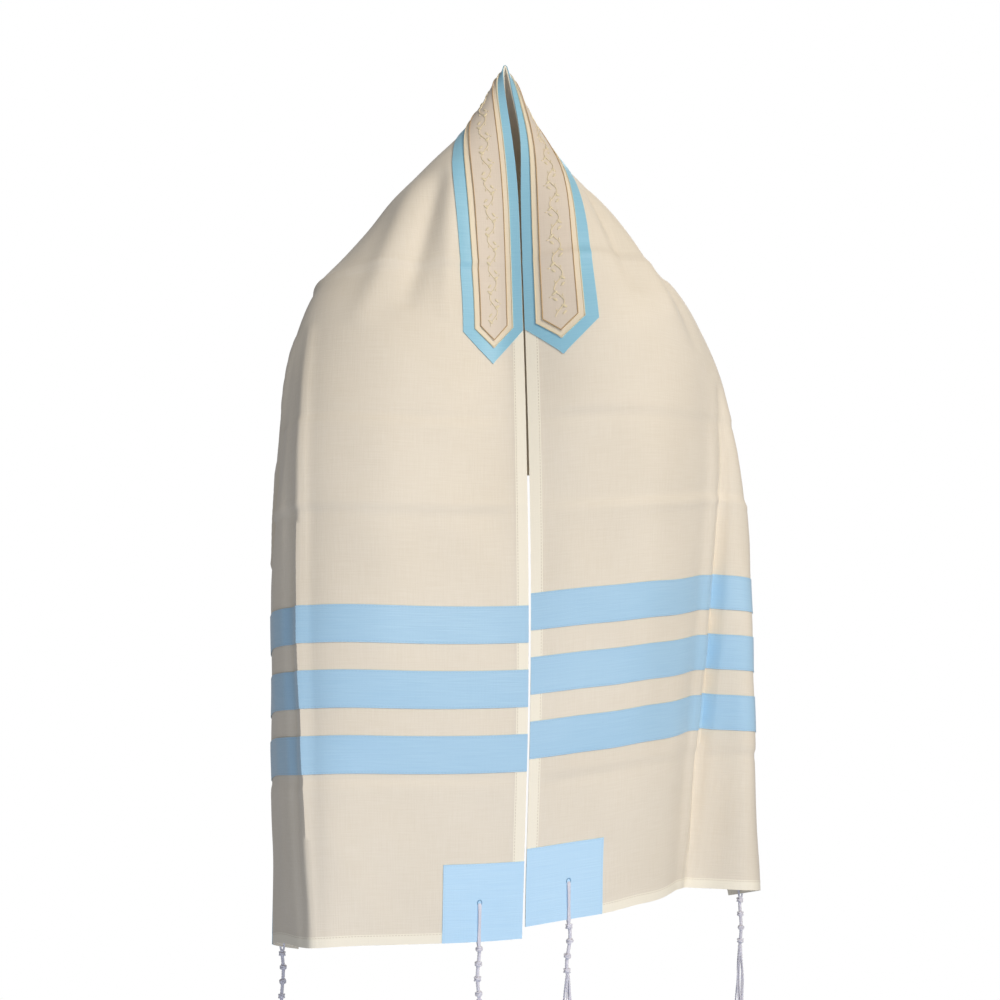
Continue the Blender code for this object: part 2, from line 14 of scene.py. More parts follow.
import bmesh
import bpy
import numpy as np
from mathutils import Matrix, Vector

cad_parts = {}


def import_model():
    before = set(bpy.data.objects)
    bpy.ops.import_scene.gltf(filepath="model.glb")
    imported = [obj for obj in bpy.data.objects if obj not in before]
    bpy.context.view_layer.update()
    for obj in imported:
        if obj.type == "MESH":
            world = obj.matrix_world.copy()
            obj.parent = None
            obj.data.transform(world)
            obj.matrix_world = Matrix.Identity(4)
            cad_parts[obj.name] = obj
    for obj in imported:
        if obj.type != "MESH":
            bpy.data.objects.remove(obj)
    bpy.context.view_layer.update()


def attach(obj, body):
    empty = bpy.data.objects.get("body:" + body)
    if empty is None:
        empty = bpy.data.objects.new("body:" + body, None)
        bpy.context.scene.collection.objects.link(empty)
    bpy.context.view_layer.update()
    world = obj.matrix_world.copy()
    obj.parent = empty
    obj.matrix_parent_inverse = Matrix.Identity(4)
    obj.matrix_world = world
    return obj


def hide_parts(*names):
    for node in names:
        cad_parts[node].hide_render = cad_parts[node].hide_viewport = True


LOG = logging.getLogger("shawl")
Array = np.ndarray
Material = bpy.types.Material
Piece = bpy.types.Object
Socket = bpy.types.NodeSocket
Tree = bpy.types.NodeTree

BODY = "root"
STITCH_INSET = 0.0018
DOWN = np.array([0, 0, -1.0])


class Side(Enum):
    """The two ends of the shawl, as the photograph shows them."""

    LEFT = -1
    RIGHT = 1

    @property
    def word(self) -> str:
        """The side's name in the nodes."""
        return self.name.lower()


class End(Enum):
    """The two corners of an end: beside the front edge, or behind."""

    FRONT = "front"
    REAR = "rear"


class Slot(Enum):
    """The record's material slots."""

    CREAM = "cream_cloth"
    BLUE = "blue_cloth"
    PANEL = "embroidered_panel"
    WOOL = "white_wool"


@dataclass(frozen=True)
class Cut:
    """The flat cut of the shawl and of what is sewn on it, in metres."""

    length: float = 2.03
    width: float = 0.51
    middle_shift: float = 0.006
    stripe_width: float = 0.0415
    stripe_space: float = 0.0300
    lowest_stripe: float = 0.1855
    square_width: float = 0.092
    square_height: float = 0.086
    long_hem: float = 0.013
    short_hem: float = 0.0115
    tassel_from_hem: float = 0.043
    tassel_from_front: float = 0.050
    tassel_from_rear: float = 0.040

    def half(self, side: Side) -> float:
        """Length of one end, from the middle to its hem."""
        return self.length / 2 - side.value * self.middle_shift

    def stripe_edges(self, side: Side) -> list[tuple[float, float]]:
        """Lower and upper edge of each stripe, from the lowest, as distances from the middle."""
        pitch = self.stripe_width + self.stripe_space
        lows = [self.half(side) - self.lowest_stripe - pitch * index for index in range(3)]
        return [(low, low - self.stripe_width) for low in lows]

    def tassel_place(self, side: Side, end: End) -> tuple[float, float]:
        """The hole that a tassel passes through, as u and v."""
        across = self.tassel_from_front if end is End.FRONT else self.width - self.tassel_from_rear
        return side.value * (self.half(side) - self.tassel_from_hem), across


CUT = Cut()


@dataclass(frozen=True)
class Slope:
    """How steeply the cloth leaves the peak at one distance, in degrees from straight down."""

    distance: float
    front: float
    left: float
    right: float
    back: float


@dataclass(frozen=True)
class Turn:
    """The hem's heading in degrees at one place across, and how far the hem is drawn up there."""

    across: float
    heading: float
    lift: float


@dataclass(frozen=True)
class Edge:
    """Where the two front edges lie beside each other at one distance from the peak."""

    distance: float
    middle: float
    half_gap: float


def column(table: Sequence[object], name: str) -> Array:
    """Give one named column of a table as numbers.

    Args:
        table: rows with that field.
        name: the field.

    Returns:
        The values in order.
    """
    return np.array([getattr(row, name) for row in table], float)


@dataclass(frozen=True)
class Form:
    """The wanted place of each point of the cloth, before its threads get their true lengths."""

    peak: tuple[float, float, float] = (-0.008, 0.0, 0.247)
    rim: float = 0.355
    slopes: tuple[Slope, ...] = (
        Slope(0.000, 14, 20, 20, 24),
        Slope(0.060, 14, 28, 22, 25),
        Slope(0.090, 14, 52, 27, 19),
        Slope(0.135, 13, 48, 50, 19),
        Slope(0.180, 12, 46, 41, 18),
        Slope(0.240, 11, 38, 37, 17),
        Slope(0.290, 10, 40, 40, 16),
        Slope(0.325, 10, 52, 50, 12),
        Slope(0.350, 9, 60, 50, 11),
        Slope(0.375, 9, 44, 40, 10),
        Slope(0.400, 8, 24, 26, 8),
        Slope(0.460, 7, 16, 18, 6),
        Slope(0.600, 3, 5, 8, 4),
    )
    left_turns: tuple[Turn, ...] = (
        Turn(0.000, -15, 0.000),
        Turn(0.230, -24, 0.004),
        Turn(0.252, 67, 0.007),
        Turn(0.340, 71, 0.018),
        Turn(0.400, 76, 0.018),
        Turn(0.450, 102, 0.018),
        Turn(0.510, 122, 0.016),
    )
    right_turns: tuple[Turn, ...] = (
        Turn(0.000, 13, 0.000),
        Turn(0.100, 23, -0.006),
        Turn(0.180, 50, 0.010),
        Turn(0.238, 78, 0.050),
        Turn(0.276, -24, 0.058),
        Turn(0.325, -20, 0.060),
        Turn(0.352, 80, 0.060),
        Turn(0.400, 97, 0.058),
        Turn(0.510, 108, 0.054),
    )
    hem_starts: tuple[tuple[float, float], ...] = ((0.0104, -0.130), (0.0134, -0.130))
    edges: tuple[Edge, ...] = (
        Edge(0.00, 0.000, 0.0010),
        Edge(0.02, 0.004, 0.0125),
        Edge(0.07, 0.011, 0.0095),
        Edge(0.12, 0.0125, 0.0040),
        Edge(0.17, 0.0140, 0.0010),
        Edge(0.36, 0.0185, -0.0005),
        Edge(1.03, 0.0215, 0.0002),
    )
    most_turn: float = 0.7
    front_bow: float = 0.008
    bow_width: float = 0.2
    front_power: float = 2.0
    swells: tuple[tuple[float, float], ...] = ((0.042, -0.060), (0.074, 0.0))
    swell_power: float = 6
    back_lean: float = 0.10
    fold_lean: tuple[float, float] = (0.20, 0.36)
    fold_depth: float = 0.24
    fold_start: float = 0.16
    fold_ease: float = 0.3
    fold_axis: tuple[float, float] = (0.75, 0.66)
    lift_power: int = 3

    @property
    def shoulder(self) -> float:
        """Distance along and across at which the cloth leaves the shoulder's tip."""
        return self.rim / math.sqrt(2)

    def turns(self, side: Side) -> tuple[Turn, ...]:
        """The hem's turns on one side."""
        return self.left_turns if side is Side.LEFT else self.right_turns

    def swell(self, side: Side) -> Array:
        """How far that side moves out and forward below the shoulder's tip."""
        out, ahead = self.swells[0 if side is Side.LEFT else 1]
        return np.array([side.value * out, ahead])

    def meridian(self, azimuth: float, distance: float, side: Side, steps: int = 24) -> Array:
        """Point at a slant distance from the peak.

        Args:
            azimuth: 0 is the front and pi the back.
            distance: slant distance.
            side: the side that it lies on.
            steps: steps of the sum.

        Returns:
            The point.
        """
        middle = (np.arange(steps) + 0.5) * distance / steps
        distances = column(self.slopes, "distance")
        facing = "front" if azimuth < math.pi / 2 else "back"
        ahead = np.interp(middle, distances, column(self.slopes, facing))
        aside = np.interp(middle, distances, column(self.slopes, side.word))
        slope = np.radians(ahead * math.cos(azimuth) ** 2 + aside * math.sin(azimuth) ** 2)
        out = np.sin(slope).sum() * distance / steps
        down = np.cos(slope).sum() * distance / steps
        return np.array(self.peak) + np.array(
            [side.value * math.sin(azimuth) * out, -math.cos(azimuth) * out, -down]
        )

    def azimuth_table(self, side: Side) -> tuple[Array, Array]:
        """Flat angle round the peak against azimuth, shared out by length round the shoulders."""
        azimuths = np.linspace(0, math.pi, 61)
        rim = np.array([self.meridian(azimuth, self.rim, side) for azimuth in azimuths])
        run = np.concatenate([[0], np.cumsum(np.linalg.norm(np.diff(rim, axis=0), axis=1))])
        return run / run[-1] * math.pi / 2, azimuths

    def hem_plan(self, side: Side, step: float = 0.002) -> tuple[Array, Array, Array]:
        """The hem seen from above, walked along its headings."""
        turns = self.turns(side)
        run = np.arange(0, CUT.width + step, step)
        heading = np.radians(np.interp(run, column(turns, "across"), column(turns, "heading")))
        x = np.concatenate([[0], np.cumsum(np.cos(heading[:-1]) * step)])
        y = np.concatenate([[0], np.cumsum(np.sin(heading[:-1]) * step)])
        start = self.hem_starts[0 if side is Side.LEFT else 1]
        return run, start[0] + side.value * x, start[1] + y

    def lift(self, across: Array | float, side: Side) -> Array:
        """How far the hem is drawn up there."""
        turns = self.turns(side)
        return np.interp(across, column(turns, "across"), column(turns, "lift"))


class Wanted:
    """Works out the wanted place of any point of the flat cloth."""

    def __init__(self, form: Form) -> None:
        """Keep the form's tables at hand."""
        self.form = form
        self.azimuths = {side: form.azimuth_table(side) for side in Side}
        self.plans = {side: form.hem_plan(side) for side in Side}
        self.tips = {side: self.cone(form.shoulder, form.shoulder, side) for side in Side}

    def cone(self, u: float, v: float, side: Side) -> Array:
        """The part that stands on the shoulders under the peak."""
        form = self.form
        distance = math.hypot(u, v)
        if distance == 0:
            return np.array(form.peak)
        azimuth = float(np.interp(math.atan2(v, u), *self.azimuths[side]))
        distances = column(form.edges, "distance")
        middle = np.interp(distance, distances, column(form.edges, "middle"))
        gap = np.interp(distance, distances, column(form.edges, "half_gap"))
        ahead = -form.meridian(0.0, distance, side)[1]
        first = math.asin(np.clip((side.value * middle + gap) / ahead, -form.most_turn, form.most_turn))
        return form.meridian(first + azimuth * (1 - first / math.pi), distance, side)

    def hem(self, across: float, side: Side) -> Array:
        """Place of the hem, seen from above."""
        run, x, y = self.plans[side]
        return np.array([np.interp(across, run, x), np.interp(across, run, y)])

    def hang(self, start: Array, across: float, side: Side, run: float, length: float, share: float) -> Array:
        """A thread that lets go of the shoulder and hangs to the hem.

        Args:
            start: where it lets go.
            across: where it reaches the hem.
            side: the side that it lies on.
            run: distance down the thread.
            length: the thread's length from start to hem.
            share: 0 at the front edge and 1 from the shoulder's tip on.

        Returns:
            The point on the thread.
        """
        form = self.form
        left_over = 1 - run / length
        swell = form.swell(side) * share
        ease = 1 - left_over ** (form.front_power + (1 - form.front_power) * share)
        rest = self.hem(across, side) - start[:2] - swell
        shift = swell * (1 - left_over ** form.swell_power) + rest * ease
        fall = math.sqrt(max(run * run - shift @ shift, 1e-9))
        lift = float(form.lift(across, side)) * (1 - left_over ** form.lift_power)
        return start + np.array([shift[0], shift[1], lift - fall])

    @staticmethod
    def lean(start: Array, direction: Array, run: float) -> Array:
        """A straight thread from start, with the level part of its direction given."""
        fall = math.sqrt(max(1 - direction @ direction, 0.05))
        return start + run * np.array([direction[0], direction[1], -fall])

    def point(self, u: float, v: float, side: Side) -> Array:
        """The wanted place of the point u, v of one end."""
        form = self.form
        if math.hypot(u, v) <= form.rim:
            return self.cone(u, v, side)
        if v <= form.shoulder:
            return self.front_panel(u, v, side)
        inner = np.array([-side.value * form.fold_lean[0], form.fold_lean[1]])
        if u <= form.shoulder:
            release = math.sqrt(form.rim ** 2 - u ** 2)
            share = (u / form.shoulder) ** 2
            direction = inner * share + np.array([0, form.back_lean]) * (1 - share)
            return self.lean(self.cone(u, release, side), direction, v - release)
        return self.side_panel(u, v, side, inner)

    def front_panel(self, u: float, v: float, side: Side) -> Array:
        """The front, whose threads hang straight."""
        form = self.form
        release = math.sqrt(form.rim ** 2 - v ** 2)
        start = self.cone(release, v, side)
        length = CUT.half(side) - release
        point = self.hang(start, v, side, u - release, length, (v / form.shoulder) ** 2)
        bow = math.sin(math.pi * (u - release) / length) * max(0, 1 - v / form.bow_width)
        point[0] += form.front_bow * bow
        return point

    def side_panel(self, u: float, v: float, side: Side, inner: Array) -> Array:
        """The cloth that fans out below the shoulder's tip: the side, then the folds behind it."""
        form = self.form
        tip = self.tips[side]
        run = math.hypot(u - form.shoulder, v - form.shoulder)
        angle = math.atan2(v - form.shoulder, u - form.shoulder)
        drop = CUT.half(side) - form.shoulder
        corner = math.atan2(CUT.width - form.shoulder, drop)
        if angle <= corner:
            across = form.shoulder + drop * math.tan(angle)
            return self.hang(tip, across, side, run, drop / math.cos(angle), 1.0)
        outer = (self.hem(CUT.width, side) - tip[:2]) / (drop / math.cos(corner))
        share = (angle - corner) / (math.pi / 2 - corner)
        grown = min(1.0, run / form.fold_start) ** 2 * min(1.0, share / form.fold_ease) ** 2
        wave = form.fold_depth * grown * math.sin(2 * math.pi * share)
        settled = 1 - (1 - min(1.0, run / drop)) ** form.swell_power
        corner_ray = outer + form.swell(side) * (settled / run - math.cos(corner) / drop)
        direction = corner_ray * (1 - share) + inner * share
        direction = direction + wave * np.array([side.value * form.fold_axis[0], form.fold_axis[1]])
        left_over = 1 - min(1.0, run * math.cos(corner) / drop)
        lift = float(form.lift(CUT.width, side)) * (1 - share) ** 2 * (1 - left_over ** form.lift_power)
        return self.lean(tip, direction, run) + np.array([0, 0, lift])


@dataclass(frozen=True)
class Hold:
    """Share of the way to its wanted place that each point takes in a round, by distance u and v."""

    least: float = 0.02
    peak: float = 0.25
    peak_reach: float = 0.42
    front: float = 0.10
    front_above: float = 0.3
    front_width: float = 0.30
    front_fade: float = 0.05
    hem: float = 0.10
    hem_start: float = 0.6
    hem_fade: float = 0.2
    loose: float = 0.01
    loose_from: float = 0.28
    loose_until: float = 0.55
    edge: float = 0.4
    edge_width: float = 0.01

    def at(self, u: Array, v: Array) -> Array:
        """The share at each point: the top, the front edges and the hem keep their place most."""
        u = np.abs(u)
        share = self.least + self.peak * np.clip(1 - np.hypot(u, v) / self.peak_reach, 0, 1) ** 0.5
        front = np.clip((self.front_width - v) / self.front_fade, 0, 1) * (u > self.front_above)
        hem = np.clip((u - self.hem_start) / self.hem_fade, 0, 1)
        share = share + self.front * front + self.hem * hem
        share = np.where((v > self.loose_from) & (u < self.loose_until), self.loose, share)
        return np.where(v < self.edge_width, self.edge, share)


@dataclass
class Drape:
    """The draped cloth as a smooth surface over its flat cut."""

    form: Form = field(default_factory=Form)
    hold: Hold = Hold()
    cells_along: int = 50
    cells_across: int = 25
    rounds: int = 600
    straight: float = 0.45
    diagonal: float = 0.225
    smoothing: tuple[float, float] = (0.05, 0.04)
    easing_along: int = 3
    easing_across: int = 1
    eased_from: float = 0.06
    least_ease: float = 0.35
    through_share: float = 0.35
    creases: Optional["Creases"] = None

    def __post_init__(self) -> None:
        """Relax the net and widen it by one row all round."""
        wanted = Wanted(self.form)
        left = -np.linspace(0, CUT.half(Side.LEFT), self.cells_along + 1)[:0:-1]
        self.along = np.concatenate([left, np.linspace(0, CUT.half(Side.RIGHT), self.cells_along + 1)])
        self.across = np.linspace(0, CUT.width, self.cells_across + 1)
        goal = np.zeros((len(self.along), len(self.across), 3))
        for i, u in enumerate(self.along):
            sides = tuple(Side) if u == 0 else (Side.LEFT,) if u < 0 else (Side.RIGHT,)
            for j, v in enumerate(self.across):
                goal[i, j] = np.mean([wanted.point(abs(u), v, side) for side in sides], axis=0)
        net = self.relax(goal)
        net = np.concatenate([2 * net[:1] - net[1:2], net, 2 * net[-1:] - net[-2:-1]])
        beside = (2 * net[:, :1] - net[:, 1:2], 2 * net[:, -1:] - net[:, -2:-1])
        self.net = np.concatenate([beside[0], net, beside[1]], axis=1)

    @staticmethod
    def project(net: Array, flat: Array, step: tuple[int, int], stiffness: float) -> None:
        """Give every edge of one kind its flat length, even edges first and then odd ones.

        Args:
            net: the points, which are moved in place.
            flat: the same points in the flat cut.
            step: rows and columns from one end of such an edge to the other.
            stiffness: share of the difference that each end takes.
        """
        along, across = step
        rows, columns = net.shape[0], net.shape[1]
        for phase in (0, 1):
            rows_used = np.arange(0, rows - along)
            columns_used = np.arange(1 if across < 0 else 0, columns - max(across, 0))
            if along:
                rows_used = rows_used[rows_used % 2 == phase]
            else:
                columns_used = columns_used[columns_used % 2 == phase]
            i, j = np.meshgrid(rows_used, columns_used, indexing="ij")
            edge = net[i + along, j + across] - net[i, j]
            wanted = np.linalg.norm(flat[i + along, j + across] - flat[i, j], axis=-1)
            length = np.maximum(np.linalg.norm(edge, axis=-1), 1e-6)
            shift = (stiffness * (length - wanted) / length)[..., None] * edge
            net[i, j] += shift
            net[i + along, j + across] -= shift

    def relax(self, goal: Array) -> Array:
        """Pull the net towards its goal while its threads keep their lengths."""
        form = self.form
        u, v = np.meshgrid(self.along, self.across, indexing="ij")
        taken = np.where(u < 0, form.lift(v, Side.LEFT), form.lift(v, Side.RIGHT))
        left_over = 1 - np.clip((np.abs(u) - form.shoulder) / (CUT.length / 2 - form.shoulder), 0, 1)
        flat = np.stack([u - np.sign(u) * taken * (1 - left_over ** form.lift_power), v], -1)
        hold = self.hold.at(u, v)[..., None]
        net = goal.copy()
        for _ in range(self.rounds):
            for step in ((1, 0), (0, 1), (1, 1), (1, -1)):
                self.project(net, flat, step, self.diagonal if all(step) else self.straight)
            smooth = net.copy()
            smooth[1:-1] += self.smoothing[0] * (net[:-2] + net[2:] - 2 * net[1:-1])
            smooth[:, 1:-1] += self.smoothing[1] * (net[:, :-2] + net[:, 2:] - 2 * net[:, 1:-1])
            net = smooth + hold * (goal - smooth)
        ease = np.clip(np.hypot(u, v) / self.eased_from, self.least_ease, 1)[..., None] / 4
        for _ in range(self.easing_along):
            net[1:-1] += ease[1:-1] * (net[:-2] - 2 * net[1:-1] + net[2:])
        for _ in range(self.easing_across):
            net[:, 1:-1] += ease[:, 1:-1] * (net[:, :-2] - 2 * net[:, 1:-1] + net[:, 2:])
        return net

    def weights(self, stations: Array, value: Array) -> tuple[Array, Array]:
        """First net row and the four smooth weights for each value."""
        cell = np.clip(np.searchsorted(stations, value, side="right") - 1, 0, len(stations) - 2)
        t = (value - stations[cell]) / (stations[cell + 1] - stations[cell])
        through = 0.5 * np.stack([
            -t + 2 * t ** 2 - t ** 3,
            2 - 5 * t ** 2 + 3 * t ** 3,
            t + 4 * t ** 2 - 3 * t ** 3,
            -t ** 2 + t ** 3,
        ], -1)
        even = np.stack([
            (1 - t) ** 3,
            3 * t ** 3 - 6 * t ** 2 + 4,
            -3 * t ** 3 + 3 * t ** 2 + 3 * t + 1,
            t ** 3,
        ], -1) / 6
        # The first goes through the net's points, and the second has no kinks between its cells
        return cell, self.through_share * through + (1 - self.through_share) * even

    def base(self, u: Array, v: Array) -> Array:
        """Place of each point halfway through the cloth, without its small creases."""
        i, along = self.weights(self.along, u)
        j, across = self.weights(self.across, v)
        reach = np.arange(4)
        patch = self.net[(i[..., None] + reach)[..., :, None], (j[..., None] + reach)[..., None, :]]
        return np.einsum("...a,...b,...abk->...k", along, across, patch)

    def normal(self, u: Array, v: Array, reach: float = 0.004) -> Array:
        """Direction out of the cloth at each point."""
        along = self.base(u + reach, v) - self.base(u - reach, v)
        across = self.base(u, v + reach) - self.base(u, v - reach)
        out = np.cross(along, across)
        return out / np.linalg.norm(out, axis=-1, keepdims=True)

    def place(self, u: Array, v: Array, height: Array | float) -> Array:
        """Place of each point u, v moved out of the cloth by a height, creases included.

        Args:
            u: distances along from the middle.
            v: distances across from the top edge.
            height: distance out of the middle of the cloth.

        Returns:
            The points, one row each.
        """
        u, v = np.broadcast_arrays(np.asarray(u, float), np.asarray(v, float))
        creased = self.creases.height(u, v) if self.creases else 0.0
        return self.base(u, v) + self.normal(u, v) * (np.asarray(height) + creased)[..., None]


@dataclass(frozen=True)
class Crease:
    """A soft ridge, or a trough where its height is below 0, along a straight line of the flat cloth."""

    name: str
    start: tuple[float, float]
    end: tuple[float, float]
    height: float
    width: float

    def shape(self, u: Array, v: Array) -> Array:
        """Height that the crease adds at each point."""
        first, last = np.array(self.start), np.array(self.end)
        span = last - first
        along = ((u - first[0]) * span[0] + (v - first[1]) * span[1]) / (span @ span)
        near = np.clip(along, 0, 1)
        off = np.hypot(u - first[0] - near * span[0], v - first[1] - near * span[1])
        fade = np.sin(math.pi * np.clip(along * 0.94 + 0.03, 0, 1)) ** 0.6
        return self.height * fade * np.exp(-((off / self.width) ** 2))


@dataclass(frozen=True)
class StorageFold:
    """A pressed line across the whole cloth, left from folding it to put it away."""

    along: float
    height: float
    width: float = 0.0045
    wander: float = 0.0016
    step_share: float = 0.35
    step_reach: float = 5

    def shape(self, u: Array, v: Array) -> Array:
        """Height of the pressed line, which wanders a little and is stronger in some places."""
        line = self.along + self.wander * np.sin(23 * v + 9 * self.along)
        strength = 0.65 + 0.35 * np.sin(17 * v + 31 * self.along)
        off = (u - line) / self.width
        ridge = self.height * strength * np.exp(-(off ** 2))
        step = self.step_share * self.height * np.tanh(off) * np.exp(-(off / self.step_reach) ** 2)
        return ridge + step


@dataclass(frozen=True)
class Creases:
    """All small creases of the cloth, placed one by one."""

    folds: tuple[StorageFold, ...] = (
        StorageFold(-0.842, -0.0019),
        StorageFold(-0.540, 0.0030),
        StorageFold(-0.438, -0.0018),
        StorageFold(-0.255, 0.0032),
        StorageFold(0.258, 0.0031),
        StorageFold(0.446, -0.0019),
        StorageFold(0.548, 0.0027),
        StorageFold(0.850, -0.0018),
    )
    creases: tuple[Crease, ...] = (
        Crease("left shoulder trough", (-0.140, 0.092), (-0.310, 0.140), -0.0085, 0.012),
        Crease("left shoulder ridge", (-0.125, 0.076), (-0.320, 0.098), 0.0060, 0.012),
        Crease("left shoulder outer ridge", (-0.140, 0.122), (-0.330, 0.186), 0.0055, 0.014),
        Crease("left under the band", (-0.330, 0.060), (-0.560, 0.075), -0.0016, 0.020),
        Crease("left front soft fold", (-0.340, 0.155), (-0.800, 0.150), 0.0022, 0.030),
        Crease("left front hollow", (-0.420, 0.100), (-0.900, 0.112), -0.0018, 0.034),
        Crease("left crease line", (-0.330, 0.238), (-1.020, 0.245), 0.0075, 0.0065),
        Crease("left behind the crease", (-0.400, 0.260), (-1.020, 0.266), -0.0050, 0.009),
        Crease("left lower pull", (-0.870, 0.235), (-1.020, 0.150), 0.0014, 0.020),
        Crease("left side fold", (-0.330, 0.272), (-0.560, 0.336), 0.0060, 0.010),
        Crease("left side hollow", (-0.350, 0.300), (-0.640, 0.372), -0.0034, 0.014),
        Crease("left side ridge", (-0.520, 0.300), (-0.980, 0.318), 0.0020, 0.018),
        Crease("right neck pull", (0.120, 0.096), (0.300, 0.126), -0.0065, 0.011),
        Crease("right shoulder ridge", (0.150, 0.122), (0.330, 0.176), 0.0056, 0.013),
        Crease("right shoulder trough", (0.190, 0.160), (0.360, 0.215), -0.0050, 0.013),
        Crease("right front soft fold", (0.380, 0.150), (0.820, 0.128), 0.0026, 0.028),
        Crease("right front hollow", (0.420, 0.085), (0.900, 0.070), -0.0022, 0.030),
        Crease("right lower ridge", (0.640, 0.205), (1.000, 0.190), 0.0022, 0.022),
        Crease("right valley line", (0.400, 0.262), (1.016, 0.252), -0.0115, 0.0080),
        Crease("right valley lip", (0.460, 0.240), (1.016, 0.232), 0.0058, 0.009),
        Crease("right side ridge", (0.520, 0.318), (0.990, 0.326), 0.0026, 0.018),
        Crease("right side hollow", (0.480, 0.360), (0.900, 0.372), -0.0022, 0.020),
        Crease("back left pull", (-0.150, 0.150), (-0.110, 0.480), 0.0030, 0.022),
        Crease("back left hollow", (-0.090, 0.200), (-0.060, 0.500), -0.0024, 0.024),
        Crease("back middle ridge", (0.010, 0.180), (0.022, 0.505), 0.0028, 0.026),
        Crease("back right hollow", (0.100, 0.170), (0.090, 0.500), -0.0026, 0.022),
        Crease("back right pull", (0.170, 0.140), (0.150, 0.470), 0.0032, 0.020),
        Crease("rear left fan", (-0.300, 0.330), (-0.620, 0.480), 0.0026, 0.014),
        Crease("rear right fan", (0.310, 0.320), (0.640, 0.470), -0.0026, 0.014),
        Crease("rear left drop", (-0.640, 0.430), (-0.980, 0.452), -0.0018, 0.020),
        Crease("rear right drop", (0.600, 0.420), (0.980, 0.440), 0.0022, 0.022),
    )
    ripple: float = 0.0007
    edge_calm: float = 0.25
    edge_width: float = 0.045
    peak_calm: float = 0.05
    peak_fade: float = 0.10

    def height(self, u: Array, v: Array) -> Array:
        """Height of the creases at each point, in metres out of the cloth."""
        total = np.zeros(np.shape(u))
        for crease in (*self.creases, *self.folds):
            total = total + crease.shape(u, v)
        broad = np.sin(31 * u + 12 * v + 0.7) * np.sin(26 * v + 1.1)
        fine = 0.6 * np.sin(57 * u - 21 * v) * np.sin(44 * v + 0.4)
        total = total + self.ripple * (broad + fine)
        # The hem calms the creases beside the top edge, and the turn of the neckband ends them at the peak
        beside_edge = np.clip(v / self.edge_width, self.edge_calm, 1)
        beside_peak = np.clip((np.hypot(u, v) - self.peak_calm) / self.peak_fade, 0.0, 1)
        return total * beside_edge * beside_peak


@dataclass(frozen=True)
class Layer:
    """How far one layer of cloth lies out of the middle of the shawl's cloth."""

    bottom: float
    top: float


CLOTH = Layer(-0.0004, 0.0004)
SEWN_ON = Layer(0.0008, 0.0014)
BAND_LAYER = Layer(0.0008, 0.0017)
INLAY_LAYER = Layer(0.0020, 0.0029)
PANEL_LAYER = Layer(0.0032, 0.0041)


def finish_piece(piece: Piece, material: Material, nodes: Sequence[str] = ()) -> Piece:
    """Dress a piece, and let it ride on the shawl's body.

    Args:
        piece: the finished piece.
        material: its material.
        nodes: CAD nodes that it stands for.

    Returns:
        The same piece.
    """
    piece.data.materials.clear()
    piece.data.materials.append(material)
    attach(piece, BODY)
    if nodes:
        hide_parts(*nodes)
    LOG.info("%s: %d faces", piece.name, len(piece.data.polygons))
    return piece


def spots_of(mesh: bpy.types.Mesh) -> Array:
    """The mesh's points, one row each."""
    spots = np.empty(len(mesh.vertices) * 3)
    mesh.vertices.foreach_get("co", spots)
    return spots.reshape(-1, 3)


def mesh_of(work: bmesh.types.BMesh, name: str) -> bpy.types.Mesh:
    """Make worked faces a mesh, and free them."""
    mesh = bpy.data.meshes.new(name)
    work.to_mesh(mesh)
    work.free()
    return mesh


def new_piece(name: str, mesh: bpy.types.Mesh) -> Piece:
    """Put a mesh into the scene under a name."""
    piece = bpy.data.objects.new(name, mesh)
    bpy.context.scene.collection.objects.link(piece)
    return piece


@dataclass
class ShellMaker:
    """Makes closed thin shells on the drape from grids of the flat cut."""

    drape: Drape

    def shell(self, name: str, u: Array, v: Array, bottom: Array | float, top: Array | float) -> Piece:
        """Make a closed shell over a grid of flat points.

        Args:
            name: name of the new piece.
            u: grid of distances along, which grow with the first index.
            v: grid of distances across, which grow with the second index.
            bottom: distance of its inner face out of the middle of the cloth.
            top: distance of its outer face.

        Returns:
            The piece, with the flat metres as its UV map.
        """
        rows, columns = u.shape
        work = bmesh.new()
        bmesh.ops.create_grid(work, x_segments=rows - 1, y_segments=columns - 1, size=0.5)
        grown = bmesh.ops.extrude_face_region(work, geom=work.faces[:], use_keep_orig=True)
        raised = [item for item in grown["geom"] if isinstance(item, bmesh.types.BMVert)]
        bmesh.ops.translate(work, verts=raised, vec=(0, 0, 0.1))
        bmesh.ops.recalc_face_normals(work, faces=work.faces[:])
        mesh = mesh_of(work, name)
        spots = spots_of(mesh)
        i = np.rint((spots[:, 0] + 0.5) * (rows - 1)).astype(int)
        j = np.rint((spots[:, 1] + 0.5) * (columns - 1)).astype(int)
        under = np.broadcast_to(bottom, u.shape)[i, j]
        over = np.broadcast_to(top, u.shape)[i, j]
        height = np.where(spots[:, 2] > 0.05, over, under)
        places = self.drape.place(u[i, j], v[i, j], height)
        mesh.vertices.foreach_set("co", places.ravel())
        corners = np.empty(len(mesh.loops), dtype=np.int32)
        mesh.loops.foreach_get("vertex_index", corners)
        flat = np.stack([u[i, j], v[i, j]], -1)[corners]
        mesh.uv_layers.new(name="flat_metres").data.foreach_set("uv", flat.ravel())
        mesh.update()
        mesh.shade_smooth()
        mesh.set_sharp_from_angle(angle=math.radians(50))
        return new_piece(name, mesh)


def stations(marks: Sequence[float], step: float) -> Array:
    """Give evenly spread stations through all the marks, no further apart than the step."""
    parts = []
    for start, end in zip(marks, marks[1:]):
        parts.append(np.linspace(start, end, max(2, math.ceil((end - start) / step) + 1))[:-1])
    return np.concatenate([*parts, [marks[-1]]])


